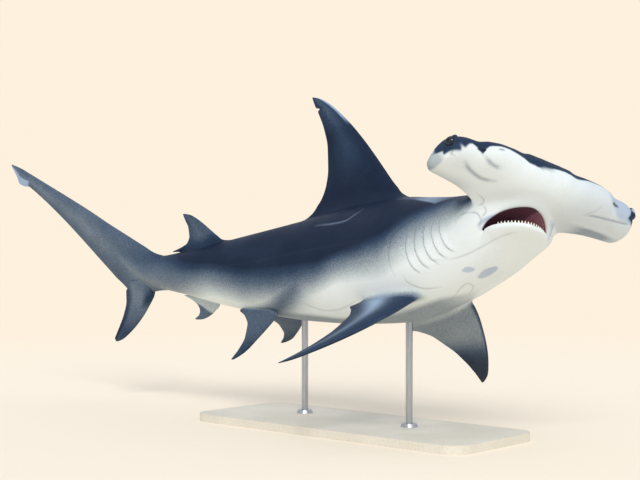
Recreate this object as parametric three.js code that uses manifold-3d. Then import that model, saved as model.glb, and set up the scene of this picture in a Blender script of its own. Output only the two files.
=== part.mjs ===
// Great hammerhead shark as a still, life-size display model: an adult that turns and lifts its
// wide head, held over a flat base by two rods.
// Millimetres, +Z up, +X towards the head, origin at the middle of the base's underside.
// The animal is first described along its swimming line: a share of its length behind the snout,
// a distance to its right and a distance above the line. The line is then bent into the pose.
import * as THREE from "three";
import { mergeVertices } from "three/addons/utils/BufferGeometryUtils.js";
import Module from "manifold-3d";

const wasm = await Module();
wasm.setup();

// Driving dimensions, in millimetres and degrees.
const TOTAL_LENGTH = 3600; // snout to the tip of the upper tail lobe
const JOIN_GAP = 0.3; // kept between pieces that touch
const LINE_HEIGHT = 730; // the swimming line above the floor, where the stand takes the weight
const LINE_PLACE = new THREE.Vector2(130, 60); // the same point from the base's middle
const HELD_AT = 0.3; // share of the length at that point
const BASE_SIZE = new THREE.Vector3(1500, 560, 36);
const BASE_CORNER = 90;
const ROD_RADIUS = 15;
const COLLAR_RADIUS = 38;
const COLLAR_HEIGHT = 14;

// The pose: share of the length, then heading to the left, nose-up pitch and roll of the right side
// upwards.
const POSE = [
  [0.0, -10, 40, 25],
  [0.09, -10, 40, 25],
  [0.155, -3.8, 21, 11],
  [0.26, -9, 6, 2.5],
  [0.4, 2, 4.5, 2],
  [0.55, 6.5, 1, -7],
  [0.7, 2.5, 0.5, -10],
  [1.0, 2.5, 0.5, -10],
];

// The trunk: share of the length, then half width, height of the back and depth of the belly, and
// how far its middle rises above the swimming line, all as shares of the length.
const TRUNK = [
  [0.02, 0.022, 0.009, 0.012, 0],
  [0.04, 0.032, 0.019, 0.021, 0],
  [0.07, 0.043, 0.028, 0.03, 0],
  [0.095, 0.0495, 0.036, 0.039, 0],
  [0.112, 0.0515, 0.042, 0.0455, 0],
  [0.16, 0.0545, 0.056, 0.0545, 0],
  [0.21, 0.0605, 0.067, 0.064, 0],
  [0.27, 0.0635, 0.0745, 0.0735, 0],
  [0.34, 0.0615, 0.0735, 0.0722, 0],
  [0.42, 0.054, 0.0645, 0.0658, 0],
  [0.5, 0.044, 0.053, 0.0555, 0],
  [0.58, 0.0325, 0.039, 0.0425, 0],
  [0.64, 0.0235, 0.0285, 0.031, 0],
  [0.69, 0.0165, 0.0215, 0.0235, 0],
  [0.72, 0.013, 0.0185, 0.019, 0.004],
  [0.76, 0.0085, 0.0125, 0.013, 0.024],
  [0.8, 0.005, 0.008, 0.008, 0.047],
];

// The trunk's pieces, front to back, and the share of the length at which each one ends.
const TRUNK_START = 0.02;
const HEAD_END = 0.112;
const TRUNK_PIECES = [
  ["neck", 0.215],
  ["torso_front", 0.33],
  ["torso_middle", 0.445],
  ["torso_rear", 0.56],
  ["tail_stock", 0.7],
];
const TRUNK_END = 0.8;

// The hammer: distance out from the middle, then front edge, rear edge, thickness and the height of
// its middle plane, as shares of the length.
const HAMMER = [
  [0.0, 0.019, 0.1, 0.046, -0.002],
  [0.02, 0.0178, 0.1, 0.044, -0.002],
  [0.033, 0.0197, 0.1, 0.041, -0.003],
  [0.047, 0.018, 0.0975, 0.037, -0.004],
  [0.062, 0.0175, 0.09, 0.033, -0.005],
  [0.076, 0.0195, 0.0845, 0.03, -0.006],
  [0.088, 0.0247, 0.082, 0.028, -0.006],
  [0.1, 0.0255, 0.0805, 0.0275, -0.006],
  [0.109, 0.0285, 0.0795, 0.0285, -0.006],
  [0.1165, 0.0345, 0.0785, 0.0285, -0.006],
  [0.1235, 0.049, 0.0755, 0.026, -0.006],
];
const HAMMER_REACH = 0.1235;
const HAMMER_ROUND = 0.009; // the part of that reach that rounds off into the outer edge

// How blunt the hammer's edges are, and what is left of its chord and thickness at its ends.
const HAMMER_BLUNT = 0.45;
const HAMMER_END_CHORD = 0.6;
const HAMMER_END_THICKNESS = 0.15;
// How its sections crowd towards the ends, and how near to its full reach the last one stands.
const HAMMER_CROWDING = 0.85;
const HAMMER_LAST_SECTION = 0.9985;

const EYE = { along: 0.0362, out: 0.1135, up: -0.0045, radius: 0.0065 };
const EYE_STRETCH = new THREE.Vector3(1, 1.15, 1); // forwards, outwards, up
const LID_STRETCH = new THREE.Vector3(1.45, 1.02, 1.28);
const NOSTRIL = { along: 0.0262, out: 0.0905, up: -0.0125, length: 0.0075 };
const NOSTRIL_STRETCH = new THREE.Vector3(0.35, 1, 0.3);

// The mouth: its arch from above, the height and dome of the roof inside it, how far the roof drops
// into the throat, the depth it is cut to and how much of that depth the throat leaves.
const MOUTH = { front: 0.0595, corner: 0.105, half: 0.0365, end: 0.13 };
const MOUTH_ROOF = { height: -0.029, dome: 0.016, drop: 0.006 };
const MOUTH_FLOOR = { height: -0.075, throat: 0.045 };
const THROAT_NARROWING = 0.45;

// The lower jaw hangs open from its hinge. Its floor runs on under the throat, into the belly.
const JAW = { front: 0.0625, corner: 0.106, half: 0.0358, end: 0.1117 };
const JAW_HINGE = { along: 0.103, open: 24, lip: -0.0335 };
const JAW_TROUGH = 0.004; // how far the inside of the jaw lies below its lip
const THROAT_END = 0.2;
const THROAT_HALF = 0.0365;
const JAW_FLOOR = [
  [0.0625, -0.0535],
  [0.066, -0.0548],
  [0.075, -0.0538],
  [0.09, -0.0508],
  [0.11, -0.049],
  [0.135, -0.051],
  [0.165, -0.0545],
  [0.2, -0.059],
];
const TEETH = 23;
const TEETH_ARC = 128;
const TEETH_INSET = 0.93; // of the jaw's arch
const TOOTH = { height: 17, width: 13, thickness: 6 };

// The turn of the head pushes the cheek on its outer side, the left, out over the jaw's corner.
const CHEEK = { at: 0.099, run: 0.014, out: 0.007 };

// Gills: the slits' places along the neck, the angles on the flank between which they run, and how
// much the last one is shorter at its top. Flaps and slits are wedges in millimetres and shares.
const GILLS = { count: 5, first: 0.157, last: 0.204, low: -36, high: 28, shorter: 7 };
const GILL_FLAP = { height: 5, half: 0.0034, ahead: 0.0046 };
const GILL_SLIT = { height: 9, half: 0.0012, ahead: 0 };

// Where the fins on the middle line start, and where the rods of the stand reach the belly.
const FIRST_DORSAL_AT = 0.262;
const SECOND_DORSAL_AT = 0.5635;
const ANAL_AT = 0.583;
const ROD_PLACES = { front: 0.265, rear: 0.44 };

const DEGREES = Math.PI / 180;

// A value read from a table of rows by its first column, along a smooth curve that keeps to the
// rows and doesn't swing past them.
function reading(rows, column) {
  const x = rows.map((row) => row[0]);
  const y = rows.map((row) => row[column]);
  const rise = x.slice(1).map((_, i) => (y[i + 1] - y[i]) / (x[i + 1] - x[i]));
  const slope = x.map((_, i) => {
    if (i === 0) return rise[0];
    if (i === rise.length) return rise[i - 1];
    const product = rise[i - 1] * rise[i];
    return product > 0 ? (2 * product) / (rise[i - 1] + rise[i]) : 0;
  });
  return (at) => {
    const a = THREE.MathUtils.clamp(at, x[0], x[x.length - 1]);
    const i = x.slice(1).findIndex((end) => a <= end);
    const width = x[i + 1] - x[i];
    const t = (a - x[i]) / width;
    const w = t * t * (3 - 2 * t);
    const bulge = t * (1 - t) * ((1 - t) * slope[i] - t * slope[i + 1]) * width;
    return y[i] * (1 - w) + y[i + 1] * w + bulge;
  };
}

const headingAt = reading(POSE, 1);
const pitchAt = reading(POSE, 2);
const rollAt = reading(POSE, 3);

// The animal's own axes at a share of its length: forwards, to its right, and up.
function axesAt(share) {
  const heading = headingAt(share) * DEGREES;
  const pitch = pitchAt(share) * DEGREES;
  const roll = rollAt(share) * DEGREES;
  const forward = new THREE.Vector3(
    Math.cos(heading) * Math.cos(pitch),
    Math.sin(heading) * Math.cos(pitch),
    Math.sin(pitch),
  );
  const levelRight = new THREE.Vector3(Math.sin(heading), -Math.cos(heading), 0);
  const levelUp = levelRight.clone().cross(forward);
  const right = levelRight
    .clone()
    .multiplyScalar(Math.cos(roll))
    .addScaledVector(levelUp, Math.sin(roll));
  const up = levelUp
    .multiplyScalar(Math.cos(roll))
    .addScaledVector(levelRight, -Math.sin(roll));
  return { forward, right, up };
}

// The swimming line, walked in short steps and then set over the base.
const LINE_STEPS = 500;
const line = [];
{
  const spot = new THREE.Vector3();
  const step = TOTAL_LENGTH / LINE_STEPS;
  for (let i = 0; i <= LINE_STEPS; i++) {
    line.push({ spot: spot.clone(), ...axesAt(i / LINE_STEPS) });
    const middle = axesAt((i + 0.5) / LINE_STEPS);
    spot.addScaledVector(middle.forward, -step);
  }
  const held = line[Math.round(HELD_AT * LINE_STEPS)].spot.clone();
  const shift = new THREE.Vector3(LINE_PLACE.x, LINE_PLACE.y, LINE_HEIGHT).sub(held);
  for (const point of line) point.spot.add(shift);
}

// A point of the posed animal, from shares of the length behind the snout, to the right and up.
function pose(along, right, up) {
  const i = THREE.MathUtils.clamp(Math.floor(along * LINE_STEPS), 0, LINE_STEPS - 1);
  const t = along * LINE_STEPS - i;
  const a = line[i];
  const b = line[i + 1];
  const w = THREE.MathUtils.clamp(t, 0, 1);
  return a.spot
    .clone()
    .lerp(b.spot, t)
    .addScaledVector(a.right.clone().lerp(b.right, w), right * TOTAL_LENGTH)
    .addScaledVector(a.up.clone().lerp(b.up, w), up * TOTAL_LENGTH);
}

// A closed solid from a cylinder whose points are moved: place(t, angle, reach) gives the point at
// t along it, at an angle round it, with reach 1 on its skin and 0 on its middle.
function shaped(around, steps, place) {
  const geometry = new THREE.CylinderGeometry(1, 1, 1, around, steps);
  const position = geometry.getAttribute("position");
  for (let i = 0; i < position.count; i++) {
    const x = position.getX(i);
    const z = position.getZ(i);
    const turn = Math.round((Math.atan2(x, z) / (2 * Math.PI)) * around + around) % around;
    const t = Math.round((0.5 - position.getY(i)) * steps) / steps;
    const reach = Math.hypot(x, z) > 0.5 ? 1 : 0;
    position.setXYZ(i, ...place(t, (turn / around) * 2 * Math.PI, reach));
  }
  return solidOf(geometry);
}

// A three.js geometry as a closed solid, its faces turned outwards.
function solidOf(geometry) {
  geometry.deleteAttribute("normal");
  geometry.deleteAttribute("uv");
  const merged = mergeVertices(geometry, 1e-3);
  const vertProperties = new Float32Array(merged.getAttribute("position").array);
  const corners = merged.index.array;
  const triVerts = [];
  let volume = 0;
  const p = [0, 1, 2].map(() => new THREE.Vector3());
  for (let i = 0; i < corners.length; i += 3) {
    const [a, b, c] = [corners[i], corners[i + 1], corners[i + 2]];
    if (a === b || b === c || c === a) continue;
    triVerts.push(a, b, c);
    p.forEach((v, k) => v.fromArray(vertProperties, corners[i + k] * 3));
    volume += p[0].dot(p[1].clone().cross(p[2]));
  }
  if (volume < 0) triVerts.reverse();
  return new wasm.Manifold(
    new wasm.Mesh({ numProp: 3, vertProperties, triVerts: new Uint32Array(triVerts) }),
  );
}

// A ball, or an egg of other half axes, turned and moved by a matrix.
function ball(radius, stretch, matrix) {
  const geometry = new THREE.SphereGeometry(radius, 16, 10);
  geometry.scale(stretch.x, stretch.y, stretch.z);
  return solidOf(geometry.applyMatrix4(matrix));
}

// The matrix that takes x, y and z to forwards, left and up at a place on the posed animal.
function frameAt(along, right, up) {
  const axes = line[THREE.MathUtils.clamp(Math.round(along * LINE_STEPS), 0, LINE_STEPS)];
  return new THREE.Matrix4()
    .makeBasis(axes.forward, axes.right.clone().negate(), axes.up)
    .setPosition(pose(along, right, up));
}

// The largest closed body of a solid.
function largest(solid) {
  return solid.decompose().reduce((a, b) => (b.volume() > a.volume() ? b : a));
}

// The room a solid needs, with the joint's gap all round it.
function roomFor(solid) {
  const shifts = [-1, 1].flatMap((x) => [-1, 1].flatMap((y) => [-1, 1].map((z) => [x, y, z])));
  return wasm.Manifold.union(
    shifts.map((shift) => solid.translate(shift.map((way) => way * JOIN_GAP))),
  );
}

// The trunk. Its section is an oval with its own height above and below its widest place.
const trunkSide = reading(TRUNK, 1);
const trunkBack = reading(TRUNK, 2);
const trunkBelly = reading(TRUNK, 3);
const trunkRise = reading(TRUNK, 4);
const BELLY_FULLNESS = 0.85;
const TRUNK_SIDES = 28;

// A point on the trunk's skin: angle 0 is the right side and a quarter turn is the back. grow, in
// millimetres, moves it out of the skin.
function trunkPoint(along, angle, reach = 1, grow = 0) {
  const extra = grow / TOTAL_LENGTH;
  const c = Math.cos(angle);
  const s = Math.sin(angle);
  const cheek = CHEEK.out * Math.exp(-(((along - CHEEK.at) / CHEEK.run) ** 2)) * Math.max(0, -c);
  const right = c * (trunkSide(along) + extra) - cheek;
  const above = s * (trunkBack(along) + extra);
  const below = -(Math.abs(s) ** BELLY_FULLNESS) * (trunkBelly(along) + extra);
  return pose(along, right * reach, trunkRise(along) + (s > 0 ? above : below) * reach);
}

// The places along the trunk at which all of its pieces have their sections.
const SECTION_STEP = 0.0165;
const sections = [TRUNK_START];
for (const end of [HEAD_END, ...TRUNK_PIECES.map((piece) => piece[1]), TRUNK_END]) {
  const from = sections[sections.length - 1];
  const steps = Math.ceil((end - from) / SECTION_STEP);
  for (let i = 1; i <= steps; i++) sections.push(from + ((end - from) * i) / steps);
}

// The trunk from one share of the length to another. startGap, in millimetres, leaves a joint.
function trunk(from, to, grow = 0, startGap = 0) {
  const stops = sections.filter((at) => at > from - 1e-6 && at < to + 1e-6);
  return shaped(TRUNK_SIDES, stops.length - 1, (t, angle, reach) => {
    const i = Math.round(t * (stops.length - 1));
    const shift = i === 0 ? startGap - grow : i === stops.length - 1 ? grow : 0;
    return trunkPoint(stops[i] + shift / TOTAL_LENGTH, angle, reach, grow);
  });
}

// A thin section from its front edge, 0, to its rear edge, 1: its half thickness, at most 1.
function foil(share) {
  const root = 0.2969 * Math.sqrt(share);
  const rest = ((-0.1036 * share + 0.2843) * share - 0.3516) * share - 0.126;
  return 10 * (root + share * rest);
}

// A power of a cosine or sine that keeps its sign, for sections between an oval and a box.
function bowed(value, power) {
  return Math.sign(value) * Math.abs(value) ** power;
}

// Which side of a section an angle is on: 1, -1, or 0 on its edges.
function sideOf(angle) {
  return Math.sign(Math.round(Math.sin(angle) * 1e6));
}

// A fin: rows of height above its root, front edge, rear edge and thickness, all as shares of the
// length, spread so that they lie closer towards the tip. place(back, height, side) sets a point.
const EDGE = 0.9; // half thickness kept near the rear edge, in millimetres
function fin(rows, around, steps, place) {
  const front = reading(rows, 1);
  const rear = reading(rows, 2);
  const thick = reading(rows, 3);
  const low = rows[0][0];
  const high = rows[rows.length - 1][0];
  return shaped(around, steps, (t, angle, reach) => {
    const height = low + (high - low) * Math.sin((t * Math.PI) / 2) ** 0.9;
    const share = reach ? (1 - Math.cos(angle)) / 2 : 0.4;
    const back = front(height) + (rear(height) - front(height)) * share;
    const edge = (EDGE / TOTAL_LENGTH) * share * Math.abs(Math.sin(angle));
    const half = (thick(height) / 2) * foil(share) + edge;
    return place(back, height, sideOf(angle) * half * reach);
  });
}

const whole = trunk(TRUNK_START, TRUNK_END, JOIN_GAP + 0.1);

// Fins on the middle line. Heights follow the back, or the belly where they point down.
const FIRST_DORSAL = [
  [-0.02, 0.004, 0.158, 0.024],
  [0.0, 0.0, 0.172, 0.022],
  [0.0045, 0.006, 0.168, 0.0185],
  [0.011, 0.0135, 0.157, 0.0165],
  [0.022, 0.0245, 0.1445, 0.015],
  [0.038, 0.0375, 0.136, 0.0135],
  [0.057, 0.0525, 0.132, 0.012],
  [0.084, 0.0745, 0.1315, 0.01],
  [0.108, 0.0955, 0.136, 0.008],
  [0.131, 0.1175, 0.1445, 0.0062],
  [0.143, 0.1315, 0.15, 0.0045],
  [0.15, 0.1425, 0.1525, 0.0025],
  [0.1535, 0.151, 0.1535, 0.0008],
];
const SECOND_DORSAL = [
  [-0.012, 0.004, 0.07, 0.012],
  [0.0, 0.0, 0.078, 0.0105],
  [0.003, 0.006, 0.1, 0.0085],
  [0.0065, 0.011, 0.079, 0.0075],
  [0.011, 0.0165, 0.0695, 0.007],
  [0.02, 0.026, 0.0645, 0.006],
  [0.03, 0.0365, 0.0645, 0.005],
  [0.04, 0.048, 0.068, 0.0038],
  [0.047, 0.0585, 0.0705, 0.0025],
  [0.0505, 0.0685, 0.0715, 0.0008],
];
const ANAL = [
  [-0.012, 0.004, 0.045, 0.012],
  [0.0, 0.0, 0.05, 0.0095],
  [0.003, 0.003, 0.068, 0.008],
  [0.0065, 0.0055, 0.056, 0.0075],
  [0.012, 0.0115, 0.0445, 0.0065],
  [0.019, 0.019, 0.0415, 0.0055],
  [0.0255, 0.028, 0.044, 0.004],
  [0.0312, 0.0395, 0.0505, 0.0022],
  [0.0335, 0.049, 0.053, 0.0008],
];

function middleFin(rows, origin, around, steps, up) {
  return fin(rows, around, steps, (back, height, side) => {
    const along = origin + back;
    const skin = up > 0 ? trunkBack(along) : -trunkBelly(along);
    return pose(along, side, trunkRise(along) + skin + up * height);
  });
}

// The tail fin: a long upper lobe along its own raised axis, and a short lower lobe below it.
const TAIL_ROOT = 0.7;
const TAIL_RAISE = 30 * DEGREES;
const UPPER_LOBE = [
  [-0.03, -0.012, 0.012, 0.026],
  [0.0, -0.0235, 0.03, 0.024],
  [0.02, -0.0225, 0.056, 0.021],
  [0.045, -0.021, 0.056, 0.0185],
  [0.07, -0.0195, 0.05, 0.0165],
  [0.11, -0.017, 0.0415, 0.014],
  [0.15, -0.0155, 0.033, 0.0115],
  [0.2, -0.0122, 0.0235, 0.0085],
  [0.25, -0.0082, 0.0168, 0.006],
  [0.281, -0.0058, 0.0145, 0.0045],
  [0.292, -0.005, 0.019, 0.004],
  [0.303, -0.0042, 0.0208, 0.0035],
  [0.313, -0.0025, 0.013, 0.0025],
  [0.3285, 0.0005, 0.0035, 0.0008],
];
const LOWER_LOBE = [
  [0.005, 0.012, 0.075, 0.02],
  [0.022, 0.001, 0.073, 0.0165],
  [0.03, 0.008, 0.069, 0.015],
  [0.043, 0.019, 0.0705, 0.0125],
  [0.062, 0.037, 0.0795, 0.0095],
  [0.08, 0.058, 0.092, 0.007],
  [0.093, 0.077, 0.102, 0.0045],
  [0.1, 0.0895, 0.1065, 0.0025],
  [0.1035, 0.1, 0.1045, 0.0008],
];

function upperLobe(around, steps) {
  return fin(UPPER_LOBE, around, steps, (across, out, side) =>
    pose(
      TAIL_ROOT + out * Math.cos(TAIL_RAISE) + across * Math.sin(TAIL_RAISE),
      side,
      out * Math.sin(TAIL_RAISE) - across * Math.cos(TAIL_RAISE),
    ),
  );
}

function lowerLobe(around, steps) {
  return fin(LOWER_LOBE, around, steps, (back, depth, side) =>
    pose(TAIL_ROOT + back, side, -depth),
  );
}

// Paired fins: stiff blades set on the flanks.
const PECTORAL = [
  [-0.035, 0.006, 0.064, 0.019],
  [0.0, 0.0, 0.068, 0.0165],
  [0.01, 0.004, 0.078, 0.015],
  [0.022, 0.0095, 0.098, 0.0135],
  [0.03, 0.013, 0.112, 0.0125],
  [0.039, 0.017, 0.104, 0.0115],
  [0.058, 0.0255, 0.0955, 0.01],
  [0.086, 0.0425, 0.0945, 0.0082],
  [0.114, 0.063, 0.0995, 0.0062],
  [0.14, 0.0862, 0.1085, 0.0044],
  [0.156, 0.1035, 0.116, 0.0028],
  [0.163, 0.1155, 0.1195, 0.0008],
];
const PELVIC = [
  [-0.018, 0.004, 0.054, 0.012],
  [0.0, 0.0, 0.056, 0.0105],
  [0.0055, 0.004, 0.067, 0.0095],
  [0.012, 0.0085, 0.078, 0.0085],
  [0.0175, 0.013, 0.068, 0.008],
  [0.029, 0.023, 0.06, 0.0065],
  [0.045, 0.039, 0.062, 0.005],
  [0.0605, 0.056, 0.0715, 0.0034],
  [0.071, 0.0725, 0.0815, 0.002],
  [0.0755, 0.082, 0.086, 0.0008],
];
// Where each one sits: the middle of its root, the angle it droops below level, how far its front
// edge is raised, how far it is swept back, and how much it curves up (or, below 0, down).
const PECTORAL_SEATS = {
  right: { along: 0.229, out: 0.0255, up: -0.036, droop: 34.4, lead: -4.5, swing: -6, curl: 0.38 },
  left: { along: 0.2245, out: 0.01, up: -0.036, droop: 41.5, lead: 17, swing: -7, curl: 1.5 },
};
const PELVIC_SEATS = {
  right: { along: 0.478, out: 0.028, up: -0.041, droop: 73, lead: 4, swing: 7, curl: -2.2 },
  left: { along: 0.482, out: 0.015, up: -0.055, droop: 46, lead: -4, swing: 3, curl: 1 },
};

function pairedFin(rows, seat, sign, around, steps) {
  const axes = line[Math.round(seat.along * LINE_STEPS)];
  const droop = seat.droop * DEGREES;
  const outwards = axes.right
    .clone()
    .multiplyScalar(sign * Math.cos(droop))
    .addScaledVector(axes.up, -Math.sin(droop));
  const top = axes.up
    .clone()
    .multiplyScalar(Math.cos(droop))
    .addScaledVector(axes.right, sign * Math.sin(droop));
  const back = axes.forward.clone().negate();
  const swing = seat.swing * DEGREES;
  const span = outwards
    .clone()
    .multiplyScalar(Math.cos(swing))
    .addScaledVector(back, Math.sin(swing));
  back.multiplyScalar(Math.cos(swing)).addScaledVector(outwards, -Math.sin(swing));
  const lead = seat.lead * DEGREES;
  const chordwise = back
    .clone()
    .multiplyScalar(Math.cos(lead))
    .addScaledVector(top, -Math.sin(lead));
  top.multiplyScalar(Math.cos(lead)).addScaledVector(back, Math.sin(lead));
  const root = pose(seat.along, sign * seat.out, seat.up);
  const halfRoot = rows[1][2] / 2;
  return fin(rows, around, steps, (chord, height, side) =>
    root
      .clone()
      .addScaledVector(chordwise, (chord - halfRoot) * TOTAL_LENGTH)
      .addScaledVector(span, height * TOTAL_LENGTH)
      .addScaledVector(top, (side + seat.curl * Math.max(0, height) ** 2) * TOTAL_LENGTH),
  );
}

// The hammer: a wing laid across the snout, its sections running from front edge to rear edge.
const hammerFront = reading(HAMMER, 1);
const hammerRear = reading(HAMMER, 2);
const hammerThick = reading(HAMMER, 3);
const hammerLevel = reading(HAMMER, 4);

function hammer(around, steps) {
  return shaped(around, steps, (t, angle, reach) => {
    const sweep = Math.sin((t - 0.5) * Math.PI);
    const right = bowed(sweep, HAMMER_CROWDING) * HAMMER_REACH * HAMMER_LAST_SECTION;
    const out = Math.abs(right);
    const past = Math.max(0, (out - (HAMMER_REACH - HAMMER_ROUND)) / HAMMER_ROUND);
    const round = Math.sqrt(1 - past * past);
    const chord = HAMMER_END_CHORD + (1 - HAMMER_END_CHORD) * round;
    const half = ((hammerRear(out) - hammerFront(out)) / 2) * chord;
    const middle = (hammerFront(out) + hammerRear(out)) / 2;
    const share = (1 - Math.cos(angle)) / 2;
    const oval = Math.abs(Math.sin(angle)) ** 0.8;
    const section = (1 - HAMMER_BLUNT) * foil(share) + HAMMER_BLUNT * oval;
    const thin = HAMMER_END_THICKNESS + (1 - HAMMER_END_THICKNESS) * round;
    const up = sideOf(angle) * (hammerThick(out) / 2) * section * thin * reach;
    return pose(middle - Math.cos(angle) * half * reach, right, hammerLevel(out) + up);
  });
}

// The mouth's arch, from above: half of its width at a share of the length.
function archHalf(arch, along) {
  const ahead = Math.max(0, (arch.corner - along) / (arch.corner - arch.front));
  return arch.half * Math.sqrt(Math.max(0, 1 - ahead * ahead));
}

// The open mouth: a dome above the tongue's place that runs on into a short throat.
function mouth(around, steps) {
  return shaped(around, steps, (t, angle, reach) => {
    const run = (1 - Math.cos((t * Math.PI) / 2)) ** 1.2;
    const along = MOUTH.front + (MOUTH.end - MOUTH.front) * run;
    const inside = Math.max(0, along - MOUTH.corner) / (MOUTH.end - MOUTH.corner);
    const half = Math.max(0.002, archHalf(MOUTH, along)) * (1 - THROAT_NARROWING * inside);
    const deep = Math.min(1, (along - MOUTH.front) / (MOUTH.corner - MOUTH.front));
    const dome = MOUTH_ROOF.dome * Math.sqrt(deep) - MOUTH_ROOF.drop * inside;
    const roof = MOUTH_ROOF.height + dome;
    const floor = MOUTH_FLOOR.height + MOUTH_FLOOR.throat * Math.min(1, inside * 6);
    const up = (roof + floor) / 2 + bowed(Math.sin(angle), 0.5) * ((roof - floor) / 2) * reach;
    return pose(along, bowed(Math.cos(angle), 0.8) * half * reach, up);
  });
}

// The lower jaw from its tip, or the floor of the throat behind it: a rounded trough.
const jawFloor = reading(JAW_FLOOR, 1);

function lipHeight(along) {
  const ahead = Math.max(0, JAW_HINGE.along - along);
  return JAW_HINGE.lip - ahead * Math.tan(JAW_HINGE.open * DEGREES);
}

function jawFrom(from, to, around, steps) {
  const eased = from === JAW.front;
  return shaped(around, steps, (t, angle, reach) => {
    const along = from + (to - from) * (eased ? 1 - Math.cos((t * Math.PI) / 2) : t);
    const widening = Math.max(0, along - JAW.corner) / (THROAT_END - JAW.corner);
    const arch = archHalf(JAW, along) + (THROAT_HALF - JAW.half) * widening;
    const lip = lipHeight(along);
    const boxy = 0.78 + 0.22 * THREE.MathUtils.smoothstep(along, 0.08, 0.12);
    const s = Math.sin(angle);
    const trough = JAW_TROUGH * s * s * Math.min(1, (along - JAW.front) / 0.01);
    const up = s > 0 ? -trough : Math.abs(s) ** boxy * (jawFloor(along) - lip);
    const right = bowed(Math.cos(angle), boxy) * Math.max(0.004, arch);
    return pose(along, right * reach, lip + up * reach);
  });
}

// Teeth stand in a row along the rim of the lower jaw, smaller towards the corners.
function teeth() {
  const made = [];
  for (let i = 0; i < TEETH; i++) {
    const turn = ((i + 0.5) / TEETH - 0.5) * TEETH_ARC * DEGREES;
    const along = JAW.corner - (JAW.corner - JAW.front) * Math.cos(turn) * TEETH_INSET;
    const right = JAW.half * Math.sin(turn) * TEETH_INSET;
    const size = 0.65 + 0.35 * Math.cos(turn);
    const height = TOOTH.height * size;
    const cone = new THREE.ConeGeometry(1, height * 1.6, 4);
    cone.scale((TOOTH.thickness / 2) * size, 1, (TOOTH.width / 2) * size);
    cone.rotateX(Math.PI / 2);
    cone.rotateZ(-turn);
    cone.translate(0, 0, height / 4);
    made.push(solidOf(cone.applyMatrix4(frameAt(along, right, lipHeight(along)))));
  }
  return wasm.Manifold.union(made);
}

// Gills: five slits on each side, each behind a raised flap of skin. A wedge follows each of them,
// raised out of the skin for a flap and used as a cutter for a slit.
function gillWedges(sign, wedge) {
  const made = [];
  for (let i = 0; i < GILLS.count; i++) {
    const share = i / (GILLS.count - 1);
    const at = GILLS.first + (GILLS.last - GILLS.first) * share;
    const high = GILLS.high - GILLS.shorter * share;
    made.push(
      shaped(4, 6, (t, angle, reach) => {
        const place = 2 * t - 1;
        const taper = Math.sqrt(Math.max(0.02, 1 - place ** 2)) * reach;
        const height = (GILLS.low + (high - GILLS.low) * t) * DEGREES;
        const lean = 0.006 * place ** 2 - 0.004 * place;
        const along = at - lean - wedge.ahead + Math.cos(angle) * wedge.half * taper;
        const round = sign > 0 ? height : Math.PI - height;
        return trunkPoint(along, round, 1, Math.sin(angle) * wedge.height * taper);
      }),
    );
  }
  return made;
}

// Colours and finishes.
function finish(color, roughness, metalness = 0) {
  return new THREE.MeshStandardMaterial({ color, roughness, metalness });
}
const slateBack = finish(0x2b3a50, 0.45);
const paleBelly = finish(0xdfe3dc, 0.5);
const eyeBlack = finish(0x10151c, 0.1);
const stone = finish(0xd8d2c4, 0.6);
const steel = finish(0xb9bcc0, 0.3, 0.9);

const SIMPLIFIED = 0.04; // faces flatter than this, in millimetres, are joined
const shark = new THREE.Group();
function addPiece(name, solid, material) {
  const made = largest(solid.simplify(SIMPLIFIED)).getMesh();
  const geometry = new THREE.BufferGeometry();
  geometry.setAttribute("position", new THREE.BufferAttribute(made.vertProperties, 3));
  geometry.setIndex(new THREE.BufferAttribute(made.triVerts, 1));
  const mesh = new THREE.Mesh(geometry, material);
  mesh.name = name;
  shark.add(mesh);
}

// Trunk pieces, with the throat open into the neck and the gills on it.
const throat = mouth(16, 10);
let start = HEAD_END;
for (const [name, end] of TRUNK_PIECES) {
  let piece = trunk(start, end, 0, JOIN_GAP);
  if (name === "neck") {
    piece = piece.add(jawFrom(HEAD_END + JOIN_GAP / TOTAL_LENGTH, THROAT_END, 20, 10));
    for (const sign of [1, -1]) {
      const flaps = wasm.Manifold.union(gillWedges(sign, GILL_FLAP));
      const slits = wasm.Manifold.union(gillWedges(sign, GILL_SLIT));
      piece = piece.add(flaps).subtract(slits);
    }
    piece = piece.subtract(throat);
  }
  addPiece(name, piece, slateBack);
  start = end;
}

// Head, with its eyes set in sockets, lids round them, nostrils and the open mouth.
let head = hammer(22, 30).add(trunk(TRUNK_START, HEAD_END));
for (const [side, sign] of [
  ["right", 1],
  ["left", -1],
]) {
  const seat = frameAt(EYE.along, sign * EYE.out, EYE.up);
  const radius = EYE.radius * TOTAL_LENGTH;
  head = head.add(ball(radius, LID_STRETCH, seat)).subtract(ball(radius + JOIN_GAP, EYE_STRETCH, seat));
  addPiece("eye_" + side, ball(radius, EYE_STRETCH, seat), eyeBlack);
  const slit = frameAt(NOSTRIL.along, sign * NOSTRIL.out, NOSTRIL.up);
  const long = NOSTRIL.length * TOTAL_LENGTH;
  head = head.subtract(ball(long, NOSTRIL_STRETCH, slit));
}
const jaw = jawFrom(JAW.front, JAW.end, 20, 12).add(teeth());
head = head.subtract(throat).subtract(roomFor(jaw));
addPiece("head", head, paleBelly);

addPiece("lower_jaw", jaw, paleBelly);

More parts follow.
